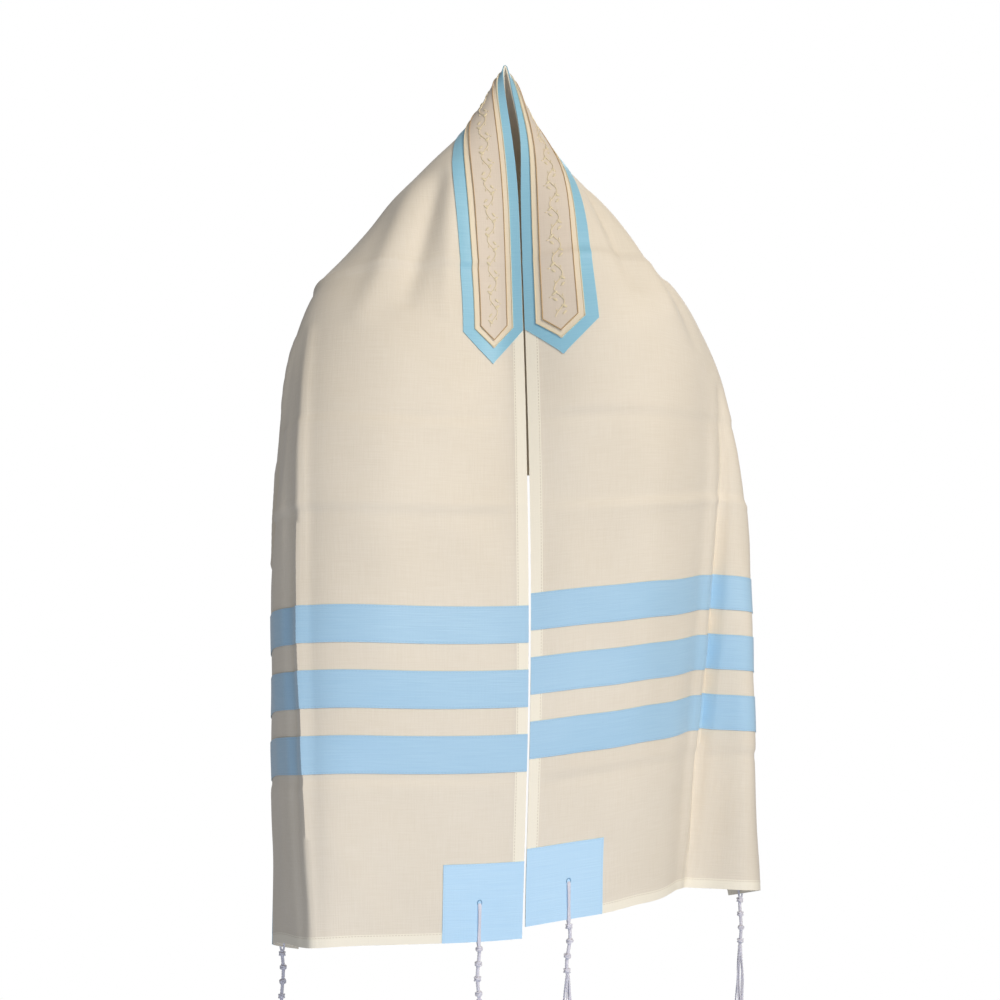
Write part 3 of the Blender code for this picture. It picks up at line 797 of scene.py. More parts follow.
@dataclass
class Thread:
    """A round cord of one or more runs, such as piping, a stem or a tassel's strands."""

    name: str
    radius: float
    sides: int = 2
    runs: list[Array] = field(default_factory=list)

    def add(self, points: Array) -> None:
        """Add one run through these points."""
        self.runs.append(np.asarray(points, float))

    def build(self) -> Piece:
        """Make the runs one mesh of closed tubes."""
        curve = bpy.data.curves.new(self.name, "CURVE")
        curve.dimensions = "3D"
        curve.bevel_depth = self.radius
        curve.bevel_resolution = self.sides
        curve.use_fill_caps = True
        for run in self.runs:
            spline = curve.splines.new("POLY")
            spline.points.add(len(run) - 1)
            flat = np.concatenate([run, np.ones((len(run), 1))], axis=1)
            spline.points.foreach_set("co", flat.ravel())
        holder = bpy.data.objects.new(self.name, curve)
        bpy.context.scene.collection.objects.link(holder)
        bpy.context.view_layer.update()
        mesh = bpy.data.meshes.new_from_object(holder.evaluated_get(bpy.context.evaluated_depsgraph_get()))
        mesh.name = self.name
        bpy.data.objects.remove(holder, do_unlink=True)
        mesh.shade_smooth()
        mesh.set_sharp_from_angle(angle=math.radians(60))
        return new_piece(self.name, mesh)


def linear(colour: str) -> tuple[float, float, float, float]:
    """Turn an sRGB hex value to a linear colour."""
    parts = [int(colour[index:index + 2], 16) / 255 for index in (1, 3, 5)]
    red, green, blue = (
        part / 12.92 if part <= 0.04045 else ((part + 0.055) / 1.055) ** 2.4 for part in parts
    )
    return red, green, blue, 1.0


def node(tree: Tree, kind: str, settings: dict | None = None, **links: object) -> bpy.types.Node:
    """Add a node with its settings and links.

    Args:
        tree: the node tree.
        kind: the node's type.
        settings: properties of the node itself.
        links: values or output sockets by input; i0, i1 and so on name inputs by number.

    Returns:
        The node.
    """
    made = tree.nodes.new(kind)
    for key, value in (settings or {}).items():
        setattr(made, key, value)
    for key, value in links.items():
        numbered = key[0] == "i" and key[1:].isdigit()
        socket = made.inputs[int(key[1:])] if numbered else made.inputs[key.replace("_", " ")]
        if isinstance(value, Socket):
            tree.links.new(value, socket)
        else:
            socket.default_value = value
    return made


def maths(tree: Tree, operation: str, *values: Socket | float) -> Socket:
    """Add a maths node and give its result."""
    inputs = {f"i{index}": value for index, value in enumerate(values)}
    return node(tree, "ShaderNodeMath", {"operation": operation}, **inputs).outputs[0]


def mixed(tree: Tree, share: Socket, first: Socket | tuple, second: Socket | tuple) -> Socket:
    """Mix two colours, where a share of 1 gives the second."""
    return node(tree, "ShaderNodeMix", {"data_type": "RGBA"}, i0=share, i6=first, i7=second).outputs[2]


def finish_shader(tree: Tree, colour: Socket, bump: bpy.types.Node, values: dict[str, float]) -> None:
    """Link a colour and a bump to the tree's shader, and set its other inputs."""
    shader = tree.nodes["Principled BSDF"]
    tree.links.new(colour, shader.inputs["Base Color"])
    tree.links.new(bump.outputs[0], shader.inputs["Normal"])
    for name, value in values.items():
        shader.inputs[name].default_value = value


class Weave(Enum):
    """How a cloth's surface was woven: the share of the yarns along it, and how much it shines."""

    PLAIN = (0.5, 0.25)
    SATIN = (0.2, 0.4)


@dataclass(frozen=True)
class Hems:
    """The doubled hems: their width on the long and the short edges, and their lighter colour."""

    long: float
    short: float
    colour: str
    stitch_inset: float = 0.0015


@dataclass(frozen=True)
class ClothFinish:
    """A woven cloth, drawn over the flat metres of its cut.

    Real threads are finer than the render shows, so uneven yarns about 1.4 mm wide are drawn.
    """

    name: str
    colour: str
    deep: str
    weave: Weave
    roughness: float
    sheen: float
    yarn: float = 0.0014
    slub: float = 0.030
    relief: float = 0.0006
    bump: float = 0.35
    sheen_spread: float = 0.45
    yarn_contrast: float = 0.75
    yarn_depth: float = -0.20
    patch_contrast: float = 0.45
    patches_a_metre: float = 7.0
    stitch_pitch: float = 0.0036
    stitch_half_width: float = 0.00045
    stitch_gap: float = -0.55
    stitch_depth: float = -1.2
    hems: Hems | None = None
    stitch_edges: tuple[tuple[float, float, float, float], ...] = ()

    def dashes(self, tree: Tree, distance: Socket, along: Socket, place: float) -> Socket:
        """A mask of stitches 2.5 mm long, 3.6 mm apart, on the line at that distance from an edge."""
        off = maths(tree, "ABSOLUTE", maths(tree, "SUBTRACT", distance, place))
        line = maths(tree, "LESS_THAN", off, self.stitch_half_width)
        wave = maths(tree, "SINE", maths(tree, "MULTIPLY", along, 2 * math.pi / self.stitch_pitch))
        dash = maths(tree, "GREATER_THAN", wave, self.stitch_gap)
        return maths(tree, "MULTIPLY", line, dash)

    def make(self) -> Material:
        """Make the material."""
        material = bpy.data.materials.new(self.name)
        material.use_nodes = True
        tree = material.node_tree
        flat = node(tree, "ShaderNodeUVMap", {"uv_map": "flat_metres"}).outputs["UV"]
        axes = node(tree, "ShaderNodeSeparateXYZ", Vector=flat)
        along, across = axes.outputs["X"], axes.outputs["Y"]
        yarns = []
        # One yarn pattern runs along the cloth and one across it, each long in its own direction
        for scale in ((1 / self.slub, 1 / self.yarn, 1.0), (1 / self.yarn, 1 / self.slub, 1.0)):
            mapped = node(tree, "ShaderNodeMapping", Vector=flat, Scale=scale)
            yarns.append(node(
                tree, "ShaderNodeTexNoise", {"noise_dimensions": "2D"},
                Vector=mapped.outputs[0], Scale=1.0, Detail=2.0,
            ).outputs["Fac"])
        part, shine = self.weave.value
        kind = {"data_type": "FLOAT"}
        woven = node(tree, "ShaderNodeMix", kind, i0=part, i2=yarns[1], i3=yarns[0]).outputs[0]
        kind = {"noise_dimensions": "2D"}
        broad = node(tree, "ShaderNodeTexNoise", kind, Vector=flat, Scale=self.patches_a_metre).outputs["Fac"]
        shade = maths(tree, "MULTIPLY_ADD", woven, self.yarn_contrast, self.yarn_depth)
        shade = maths(tree, "MULTIPLY_ADD", broad, self.patch_contrast, shade)
        shade = node(tree, "ShaderNodeClamp", i0=shade).outputs[0]
        colour = mixed(tree, shade, linear(self.deep), linear(self.colour))
        relief = woven
        if self.hems:
            colour, relief = self.add_hems(tree, along, across, colour, relief)
        for edge in self.stitch_edges:
            colour, relief = self.add_edge_stitches(tree, along, across, edge, colour, relief)
        bump = node(tree, "ShaderNodeBump", Height=relief, Distance=self.relief, Strength=self.bump)
        finish_shader(tree, colour, bump, {
            "Roughness": self.roughness,
            "Sheen Weight": self.sheen,
            "Sheen Roughness": self.sheen_spread,
            "Specular IOR Level": shine,
        })
        return material

    def sew(self, tree: Tree, stitched: Socket, colour: Socket, relief: Socket) -> tuple[Socket, Socket]:
        """Darken the cloth and draw it in where the stitches are."""
        colour = mixed(tree, stitched, colour, linear(self.deep))
        return colour, maths(tree, "MULTIPLY_ADD", stitched, self.stitch_depth, relief)

    def add_hems(
        self, tree: Tree, along: Socket, across: Socket, colour: Socket, relief: Socket
    ) -> tuple[Socket, Socket]:
        """Lay the doubled, lighter hems and their stitches over all four edges."""
        hems = self.hems
        size = maths(tree, "ABSOLUTE", maths(tree, "ADD", along, CUT.middle_shift))
        to_end = maths(tree, "SUBTRACT", CUT.length / 2, size)
        to_side = maths(tree, "MINIMUM", across, maths(tree, "SUBTRACT", CUT.width, across))
        masks = [maths(tree, "LESS_THAN", to_side, hems.long), maths(tree, "LESS_THAN", to_end, hems.short)]
        doubled = maths(tree, "MAXIMUM", *masks)
        colour = mixed(tree, doubled, colour, linear(hems.colour))
        runs = [
            self.dashes(tree, to_side, along, hems.long - hems.stitch_inset),
            self.dashes(tree, to_end, across, hems.short - hems.stitch_inset),
        ]
        colour, relief = self.sew(tree, maths(tree, "MAXIMUM", *runs), colour, relief)
        return colour, maths(tree, "ADD", doubled, relief)

    def add_edge_stitches(
        self,
        tree: Tree,
        along: Socket,
        across: Socket,
        edge: tuple[float, float, float, float],
        colour: Socket,
        relief: Socket,
    ) -> tuple[Socket, Socket]:
        """Sew along one straight edge of a stripe or square.

        Args:
            tree: the node tree.
            along: the flat distance along.
            across: the flat distance across.
            edge: factors of the size of along and of across and an offset, which together give the distance
                from the edge, and then the stitches' distance from it.
            colour: colour so far.
            relief: relief so far.

        Returns:
            The new colour and relief.
        """
        part_along, part_across, offset, place = edge
        first = maths(tree, "MULTIPLY_ADD", maths(tree, "ABSOLUTE", along), part_along, offset)
        distance = maths(tree, "MULTIPLY_ADD", across, part_across, first)
        run = across if abs(part_along) > abs(part_across) else along
        return self.sew(tree, self.dashes(tree, distance, run, place), colour, relief)


@dataclass(frozen=True)
class YarnFinish:
    """Twisted yarn: a soft sheen, and fine uneven fuzz as coarse as a turn of the ply, with its deeper colour
    painted into the fuzz's hollows as shade.
    """

    name: str
    colour: str
    # deep: colour of the painted shade in the hollows of the yarn's bump
    deep: str
    roughness: float = 0.75
    sheen: float = 0.4
    turn: float = 0.0016
    relief: float = 0.0006
    bump: float = 0.5

    def make(self) -> Material:
        """Make the material."""
        material = bpy.data.materials.new(self.name)
        material.use_nodes = True
        tree = material.node_tree
        place = node(tree, "ShaderNodeTexCoord").outputs["Object"]
        fuzz_and_hollow_shade = node(tree, "ShaderNodeTexNoise", Vector=place, Scale=1 / self.turn).outputs["Fac"]
        # Painted shade: the deeper colour goes where the noise is low, which the bump below makes hollows
        colour = mixed(tree, fuzz_and_hollow_shade, linear(self.deep), linear(self.colour))
        bump = node(tree, "ShaderNodeBump", Height=fuzz_and_hollow_shade, Distance=self.relief, Strength=self.bump)
        finish_shader(tree, colour, bump, {"Roughness": self.roughness, "Sheen Weight": self.sheen})
        return material


@dataclass
class Finishes:
    """Every finish of the shawl."""

    # Matt silk and wool mix: ivory, with slightly uneven yarns and a faint bloom at grazing angles
    cream: ClothFinish = ClothFinish(
        "ivory_silk_mix", "#F4EBDA", "#E4D8C2", Weave.PLAIN, 0.62, 0.25,
        hems=Hems(CUT.long_hem, CUT.short_hem, "#FBF3DE"),
    )
    # Satin ribbon: light blue, smoother than the ground, with its yarns mostly across
    blue: ClothFinish = ClothFinish(
        "light_blue_satin", "#BBDDF1", "#A5CDE6", Weave.SATIN, 0.42, 0.3, slub=0.045,
    )
    # Satin of the corner squares: paler than the ribbon, over the cream cloth and its hems
    square: ClothFinish = ClothFinish(
        "light_blue_square", "#CDECFF", "#B9DFF8", Weave.SATIN, 0.45, 0.3, slub=0.045,
    )
    # Satin of the neckband: a slightly greener and deeper blue than the stripes
    band: ClothFinish = ClothFinish(
        "neckband_blue_satin", "#A2D4E6", "#8AC2D8", Weave.SATIN, 0.42, 0.3, slub=0.045,
    )
    # Cream ribbon between the blue and the beige: warmer and a little smoother than the shawl's cloth
    inlay: ClothFinish = ClothFinish(
        "neckband_cream_edge", "#F5E9D2", "#E8D9BC", Weave.PLAIN, 0.55, 0.25,
    )
    # Beige ribbon under the embroidery: matt, and darker than the cream round it
    panel: ClothFinish = ClothFinish(
        "neckband_beige_panel", "#EADDCB", "#DCCDB9", Weave.PLAIN, 0.58, 0.25,
    )
    # Mercerised embroidery thread: cream, brighter than the beige under it
    embroidery: YarnFinish = YarnFinish("cream_embroidery_thread", "#F3E7C8", "#D8C596", 0.38, 0.3, 0.0008)
    # Gold metallic cord round the beige panel, with browner painted shade in its hollows
    piping: YarnFinish = YarnFinish("gold_edge_cord", "#D2B27E", "#A98455", 0.42, 0.2, 0.0009)
    # Bleached wool: white, with a slight lilac painted shade in its hollows
    wool: YarnFinish = YarnFinish("bleached_twisted_wool", "#F4F3F6", "#CFCBD8")
    # Buttonhole thread of the eyelets: a shade deeper than the squares
    eyelet: YarnFinish = YarnFinish("blue_eyelet_thread", "#9CC9E4", "#6F9FC0", 0.5, 0.2, 0.0009)


@dataclass
class ClothWork:
    """What every maker of a piece needs: the drape, the shells on it, and the finishes' materials."""

    maker: ShellMaker
    materials: dict[str, Material]

    def lay(self, piece: Piece) -> Piece:
        """Move a piece that was made over the flat cut onto the draped cloth.

        Args:
            piece: its mesh holds distances along, distances across and heights.

        Returns:
            The same piece.
        """
        mesh = piece.data
        places = self.maker.drape.place(*spots_of(mesh).T)
        mesh.vertices.foreach_set("co", places.ravel())
        mesh.update()
        return piece


@dataclass
class ShawlCloth:
    """The shawl itself: one rectangle with hems on all four edges."""

    work: ClothWork
    step: float = 0.0051
    name: str = "worn_shawl_cloth"
    hem_fold: float = 0.0005
    hem_face: float = 0.0002
    hem_slope: float = 0.0012

    def doubled(self, u: Array, v: Array) -> Array:
        """1 over the hems, where the cloth is folded under, and 0 inside them."""
        to_end = CUT.length / 2 - np.abs(u + CUT.middle_shift)
        to_side = np.minimum(v, CUT.width - v)
        inside = np.minimum(to_side - CUT.long_hem, to_end - CUT.short_hem)
        return 1 - np.clip(inside / self.hem_slope, 0, 1)

    def build(self) -> Piece:
        """Make the cloth."""
        marks = [-CUT.half(Side.LEFT)]
        marks += [marks[0] + CUT.short_hem, marks[0] + CUT.short_hem + self.hem_slope, 0.0]
        end = CUT.half(Side.RIGHT)
        marks += [end - CUT.short_hem - self.hem_slope, end - CUT.short_hem, end]
        inner = [CUT.long_hem, CUT.long_hem + self.hem_slope]
        across = stations([0.0, *inner, CUT.width - inner[1], CUT.width - inner[0], CUT.width], self.step)
        u, v = np.meshgrid(stations(marks, self.step), across, indexing="ij")
        folded = self.doubled(u, v)
        bottom = CLOTH.bottom - self.hem_fold * folded
        top = CLOTH.top + self.hem_face * folded
        cloth = self.work.maker.shell(self.name, u, v, bottom, top)
        finish_piece(cloth, self.work.materials["cream"], ["shawl_cloth"])
        return cloth


@dataclass
class Stripes:
    """Three satin stripes at each end, sewn from edge to edge."""

    work: ClothWork
    carrier: Piece
    step: float = 0.005
    words: tuple[str, str, str] = ("lower", "middle", "upper")

    def build(self) -> None:
        """Make all six stripes."""
        across = stations([0.0, CUT.long_hem, CUT.width - CUT.long_hem, CUT.width], self.step)
        for side in Side:
            for word, (low, high) in zip(self.words, CUT.stripe_edges(side)):
                ends = sorted((side.value * low, side.value * high))
                u, v = np.meshgrid(stations(ends, self.step), across, indexing="ij")
                name = f"stripe_{side.word}_{word}"
                stripe = self.work.maker.shell(f"satin_{name}", u, v, SEWN_ON.bottom, SEWN_ON.top)
                finish_piece(stripe, self.work.materials[f"stripe_{side.word}_{word}"], [name])


@dataclass
class CornerSquares:
    """The four corner squares, with the worked eyelets that the tassels pass through."""

    work: ClothWork
    carrier: Piece
    step: float = 0.004
    eyelet_radius: float = 0.0030
    eyelet_narrowing: float = 0.8
    eyelet_cord: float = 0.0006
    eyelet_lift: float = 0.4

    def build(self) -> None:
        """Make all four squares and their eyelets."""
        for side in Side:
            for end in End:
                self.square(side, end)

    def square(self, side: Side, end: End) -> None:
        """Make one square with its eyelet."""
        half = CUT.half(side)
        ends = sorted((side.value * half, side.value * (half - CUT.square_height)))
        start = 0.0 if end is End.FRONT else CUT.width - CUT.square_width
        u, v = np.meshgrid(
            stations(ends, self.step), stations([start, start + CUT.square_width], self.step), indexing="ij"
        )
        name = f"square_{end.value}_{side.word}"
        square = self.work.maker.shell(f"satin_{name}", u, v, SEWN_ON.bottom, SEWN_ON.top)
        material = self.work.materials[name]
        finish_piece(square, material, [name])
        hole = CUT.tassel_place(side, end)
        turn = np.linspace(0, 2 * math.pi, 25)
        ring = Thread(f"eyelet_{end.value}_{side.word}", self.eyelet_cord, 1)
        ring.add(np.stack([
            hole[0] + self.eyelet_radius * np.cos(turn),
            hole[1] + self.eyelet_radius * self.eyelet_narrowing * np.sin(turn),
            np.full(turn.shape, SEWN_ON.top + self.eyelet_cord * self.eyelet_lift),
        ], -1))
        eyelet = self.work.lay(ring.build())
        finish_piece(eyelet, self.work.materials["eyelet"])


@dataclass(frozen=True)
class BandShape:
    """One layer of the neckband, with a point at both ends."""

    node: str
    inner: float
    outer: float
    reach: float
    point: float
    layer: Layer
    blunt: float = 0.0015

    @property
    def centre(self) -> float:
        """The middle of its width."""
        return (self.inner + self.outer) / 2

    def grid(self, step: float) -> tuple[Array, Array]:
        """Flat points of the layer, narrowing over both points."""
        corner = self.reach - self.point
        along = stations([-self.reach, -corner, 0.0, corner, self.reach], step)
        narrow = np.clip((self.reach - np.abs(along)) / self.point, self.blunt / (self.outer - self.inner), 1)
        across = stations([self.inner, self.outer], step)
        u = np.repeat(along[:, None], len(across), axis=1)
        return u, self.centre + (across[None, :] - self.centre) * narrow[:, None]

    def outline(self, inset: float, step: float = 0.004) -> Array:
        """The layer's outline, a little inside its edge, as a closed run of flat points."""
        corner = self.reach - self.point
        tip = self.reach - inset * 1.6
        inner, outer = self.inner + inset, self.outer - inset
        corners = [
            (-corner, inner), (corner, inner), (tip, self.centre), (corner, outer),
            (-corner, outer), (-tip, self.centre), (-corner, inner),
        ]
        parts = []
        for a, b in zip(corners, corners[1:]):
            count = max(2, math.ceil(math.dist(a, b) / step))
            share = np.arange(count)[:, None] / count
            parts.append(np.array(a) * (1 - share) + np.array(b) * share)
        return np.concatenate([*parts, [corners[0]]])


@dataclass(frozen=True)
class LeafPlace:
    """A leaf beside a bend of the stem: how far along and away, its turn in radians, and its size."""

    along: float
    away: float
    turn: float
    size: float


@dataclass
class Neckband:
    """The neckband: blue band, cream inlay and beige panel, edged with cords and embroidered with a vine."""

    work: ClothWork
    carrier: Piece
    step: float = 0.0042
    band: BandShape = BandShape("atarah_band", 0.0, 0.0770, 0.374, 0.036, BAND_LAYER)
    inlay: BandShape = BandShape("atarah_inlay", 0.0115, 0.0630, 0.356, 0.022, INLAY_LAYER)
    panel: BandShape = BandShape("atarah_panel", 0.0185, 0.0560, 0.348, 0.017, PANEL_LAYER)
    stem_wave: float = 0.0050
    stem_pitch: float = 0.034
    stem_radius: float = 0.00062
    leaf_half_length: float = 0.003875
    leaf_half_width: float = 0.0017692308
    leaf_height: float = 0.0011
    leaf_taper: float = 0.45
    leaf_under: float = -0.3
    leaves: tuple[LeafPlace, ...] = (
        LeafPlace(-0.0035, 0.0052, 0.95, 1.0),
        LeafPlace(0.0040, 0.0050, -0.85, 0.85),
        LeafPlace(0.0, -0.0032, 0.0, 0.45),
    )
    bud: LeafPlace = LeafPlace(0.0005, 0.0098, 1.57, 0.42)

    def build(self) -> None:
        """Make the three layers, their edge cords and the embroidery."""
        for shape, key, slot in (
            (self.band, "band", Slot.BLUE),
            (self.inlay, "inlay", Slot.CREAM),
            (self.panel, "panel", Slot.PANEL),
        ):
            u, v = shape.grid(self.step)
            layer = self.work.maker.shell(f"neckband_{key}", u, v, shape.layer.bottom, shape.layer.top)
            finish_piece(layer, self.work.materials[key], [shape.node])
        # Each cord's distance from the edge, and its radius
        self.cord("neckband_gold_cord", self.panel, 0.0006, 0.0006, "piping")
        self.cord("neckband_cream_cord", self.inlay, 0.0007, 0.00055, "embroidery")
        self.embroider()

    def cord(self, name: str, shape: BandShape, inset: float, radius: float, material: str) -> None:
        """Sew a cord along a layer's outline."""
        line = shape.outline(inset)
        height = np.full((len(line), 1), shape.layer.top + radius * 0.5)
        thread = Thread(name, radius, 1)
        thread.add(np.concatenate([line, height], axis=1))
        finish_piece(self.work.lay(thread.build()), self.work.materials[material])

    def stem(self, along: Array) -> Array:
        """Across place of the vine's stem at each distance along."""
        return self.panel.centre + self.stem_wave * np.sin(2 * math.pi * along / self.stem_pitch)

    def embroider(self) -> None:
        """Work a plain running vine down the panel: a wavy stem with three leaves at each bend and a bud at
        every other bend.
        """
        reach = self.panel.reach - self.panel.point
        along = np.arange(-reach, reach + 0.001, 0.002)
        ground = self.panel.layer.top
        stem = Thread("neckband_vine_stem", self.stem_radius, 1)
        stem.add(np.stack([along, self.stem(along), np.full(along.shape, ground + self.stem_radius * 0.4)], -1))
        finish_piece(self.work.lay(stem.build()), self.work.materials["embroidery"])
        leaves = bmesh.new()
        bends = np.arange(-reach + self.stem_pitch / 4, reach, self.stem_pitch / 2)
        for index, bend in enumerate(bends):
            away = 1 if self.stem(np.array(bend)) < self.panel.centre else -1
            root = float(self.stem(np.array(bend)))
            for leaf in self.leaves:
                self.leaf(leaves, bend + leaf.along, root + away * leaf.away, away * leaf.turn, leaf.size)
            if index % 2:
                bud = self.bud
                self.leaf(leaves, bend + bud.along, root + away * bud.away, bud.turn, bud.size)
        mesh = mesh_of(leaves, "neckband_vine_leaves")
        mesh.shade_smooth()
        piece = self.work.lay(new_piece("neckband_vine_leaves", mesh))
        finish_piece(piece, self.work.materials["embroidery"])

    def leaf(self, leaves: bmesh.types.BMesh, u: float, v: float, turn: float, size: float) -> None:
        """Add one satin-stitched leaf.

        Args:
            leaves: the mesh of all leaves, over the flat cut.
            u: distance along of its middle.
            v: distance across of its middle.
            turn: its angle to the length of the shawl, in radians.
            size: its size, where 1 is a whole leaf.
        """
        made = bmesh.ops.create_uvsphere(leaves, u_segments=10, v_segments=6, radius=1.0)["verts"]
        for vert in made:
            taper = 1 - self.leaf_taper * vert.co.x ** 2
            x, y = vert.co.x * self.leaf_half_length * size, vert.co.y * self.leaf_half_width * size * taper
            spot = (u + x * math.cos(turn) - y * math.sin(turn), v + x * math.sin(turn) + y * math.cos(turn))
            height = max(vert.co.z, self.leaf_under) * self.leaf_height * size ** 0.5
            vert.co = (*spot, self.panel.layer.top + height)


@dataclass(frozen=True)
class TasselLook:
    """How one tassel hangs, apart from its place."""

    side: Side
    end: End
    sway: float
    spread: float
    bend: float
    seed: int
    opening: float = 2.2

    @property
    def word(self) -> str:
        """Its corner in the nodes' names."""
        return f"{self.end.value}_{self.side.word}"


TASSEL_LOOKS = (
    TasselLook(Side.LEFT, End.FRONT, -0.003, 0.040, 0.0012, 1, opening=7.0),
    TasselLook(Side.LEFT, End.REAR, 0.004, 0.017, 0.0026, 2),
    TasselLook(Side.RIGHT, End.FRONT, -0.004, 0.020, -0.0020, 3),
    TasselLook(Side.RIGHT, End.REAR, -0.003, 0.014, -0.0026, 4),
)


@dataclass(frozen=True)
class Hang:
    """Where one tassel hangs: the point of the hem above it, and level directions aside and out."""

    look: TasselLook
    foot: Array
    aside: Array
    out: Array
    wave_turn: float = 95
    wave_start: float = 0.012

    def axis(self, down: Array) -> Array:
        """Centre of the knotted head at each distance down, a little wavy as a loose cord is."""
        grown = np.clip(down / self.wave_start, 0, 1)
        wave = self.look.bend * np.sin(down * self.wave_turn + self.look.seed) * grown
        return self.foot + self.aside * wave[:, None] + DOWN * down[:, None]

    def ring(self, angle: Array) -> Array:
        """Level directions at these angles round the tassel."""
        return self.aside * np.cos(angle)[:, None] + self.out * np.sin(angle)[:, None]


@dataclass
class Tassels:
    """The four corner tassels: a loop through the eyelet, windings between knots, and eight strands."""

    work: ClothWork
    cord: float = 0.00085
    leg_gap: float = 1.5
    leg_lifts: tuple[float, float] = (1.2, 1.8)
    leg_rise: float = 0.0009
    leg_gather: float = 0.35
    ply: float = 0.00055
    ply_turn: float = 0.0065
    knots: int = 4
    first_knot: float = 0.008
    knot_pitch: float = 0.0165
    head_start: float = 0.003
    head_end: float = 0.006
    winding_radius: float = 0.00125
    winding_turn: float = 520
    knot_turns: float = 2.6
    knot_height: float = 0.0046
    knot_radius: float = 0.0026
    knot_swell: float = 0.0005
    crossing_radius: float = 0.0034
    strand_count: int = 8
    strand_length: float = 0.238
    strand_shortening: float = 0.16
    strand_wave: float = 0.0022
    strand_ring: float = 0.0016
    looks: tuple[TasselLook, ...] = TASSEL_LOOKS

    def build(self) -> None:
        """Make all four tassels."""
        for look in self.looks:
            self.tassel(look)

    def tassel(self, look: TasselLook) -> None:
        """Make one tassel."""
        v = CUT.tassel_place(look.side, look.end)[1]
        hem = look.side.value * CUT.half(look.side)
        drape = self.work.maker.drape
        out = drape.normal(np.array(hem), np.array(v))
        out[2] = 0
        out /= np.linalg.norm(out)
        aside = np.array([-out[1], out[0], 0.0])
        hang = Hang(look, drape.place(np.array(hem), np.array(v), 0.0), aside, out)
        head = Thread(f"tassel_{look.word}_head", self.cord, 1)
        outside, inside = self.leg_lifts
        for offset in (-1.0, 0.0, 1.0):
            for height in (SEWN_ON.top + self.cord * outside, CLOTH.bottom - self.cord * inside):
                head.add(self.loop_leg(hang, hem, height, offset * self.cord * self.leg_gap))
        length = self.first_knot + self.knot_pitch * (self.knots - 1) + self.head_end
        down = np.linspace(self.head_start, length, 90)
        centre = hang.axis(down)
        for index in range(4):
            ring = hang.ring(index * math.pi / 2 + down * self.winding_turn)
            head.add(centre + ring * self.winding_radius)
        for index in range(self.knots):
            self.knot(head, hang, self.first_knot + self.knot_pitch * index, index)
        piece = head.build()
        finish_piece(piece, self.work.materials["wool"], [f"tzitzit_{look.word}"])
        self.strands(hang, centre[-1])

    def loop_leg(self, hang: Hang, hem: float, height: float, offset: float) -> Array:
        """One cord of the loop, down one face of the square and over the hem to the head.

        Args:
            hang: where the tassel hangs.
            hem: distance along of the hem.
            height: how far it lies out of the cloth.
            offset: its place beside the middle of the loop.

        Returns:
            The points of the cord.
        """
        u, v = CUT.tassel_place(hang.look.side, hang.look.end)
        share = np.linspace(0, 1, 14)
        gather = 1 - self.leg_gather * np.sin(math.pi * share)
        rise = np.sin(math.pi * np.clip(share * 1.3, 0, 1)) * self.leg_rise * np.sign(height)
        entry = np.clip(share / 0.08, 0, 1)
        on_cloth = self.work.maker.drape.place(
            u + (hem - u) * share, v + offset * gather, (height + rise) * entry
        )
        below = np.linspace(0.15, 1, 5)[:, None]
        end = hang.foot + DOWN * self.first_knot
        last = on_cloth[-1]
        turned = last * (1 - below) + end * below + hang.out * (height * 0.25) * np.sin(math.pi * below)
        return np.concatenate([on_cloth, turned])

    def knot(self, head: Thread, hang: Hang, at: float, index: int) -> None:
        """Tie one double knot: windings round the head with two crossing turns over them."""
        turns = np.linspace(0, self.knot_turns, 44)
        down = at + (turns / self.knot_turns - 0.5) * self.knot_height
        radius = self.knot_radius + self.knot_swell * np.sin(math.pi * turns / self.knot_turns)
        head.add(hang.axis(down) + hang.ring(turns * 2 * math.pi + index * 1.7) * radius[:, None])
        angle = np.linspace(0, 2 * math.pi, 22)
        middle = hang.axis(np.full(angle.shape, at))
        for lean in (0.5, -0.6):
            tilt = -DOWN * (np.cos(angle + index + hang.look.seed) * lean)[:, None]
            head.add(middle + (hang.ring(angle) + tilt) * self.crossing_radius)

    def strands(self, hang: Hang, top: Array) -> None:
        """Hang the eight two-ply strands under the head."""
        look = hang.look
        chance = np.random.default_rng(look.seed)
        threads = Thread(f"tassel_{look.word}_strands", self.ply, 1)
        for index in range(self.strand_count):
            angle = index * math.pi / 4 + 0.3
            length = self.strand_length * (1 - self.strand_shortening * chance.random())
            down = np.linspace(0, 1, max(40, int(length / self.ply_turn * 7)))
            wave = self.strand_wave * np.sin(down * (9 + 4 * chance.random()) + chance.random() * 6)
            wave = wave * np.clip(down * 5, 0, 1)
            fan = look.spread / 2 * (1 - (1 - down) ** look.opening)
            sideways = self.strand_ring * math.cos(angle) + fan * math.cos(angle) + look.sway * down ** 2 + wave
            ahead = self.strand_ring * math.sin(angle) + 0.5 * fan * math.sin(angle) - 0.5 * wave
            fall = DOWN * (down * length)[:, None]
            centre = top + hang.aside * sideways[:, None] + hang.out * ahead[:, None] + fall
            for ply in (0, 1):
                turn = down * length / self.ply_turn * 2 * math.pi + ply * math.pi
                threads.add(centre + hang.ring(turn) * self.ply * 0.8)
        finish_piece(threads.build(), self.work.materials["wool"])


@dataclass(frozen=True)
class Lamp:
    """A square soft light that is aimed at a height on the shawl's axis."""

    name: str
    place: tuple[float, float, float]
    size: float
    power: float
    aim: float
    colour: str

    def build(self) -> None:
        """Make the lamp."""
        data = bpy.data.lights.new(self.name, "AREA")
        data.size = self.size
        data.energy = self.power
        data.color = linear(self.colour)[:3]
        lamp = bpy.data.objects.new(self.name, data)
        lamp.location = self.place
        aim = Vector((0.0, 0.0, self.aim)) - lamp.location
        lamp.rotation_euler = aim.to_track_quat("-Z", "Y").to_euler()
        bpy.context.scene.collection.objects.link(lamp)


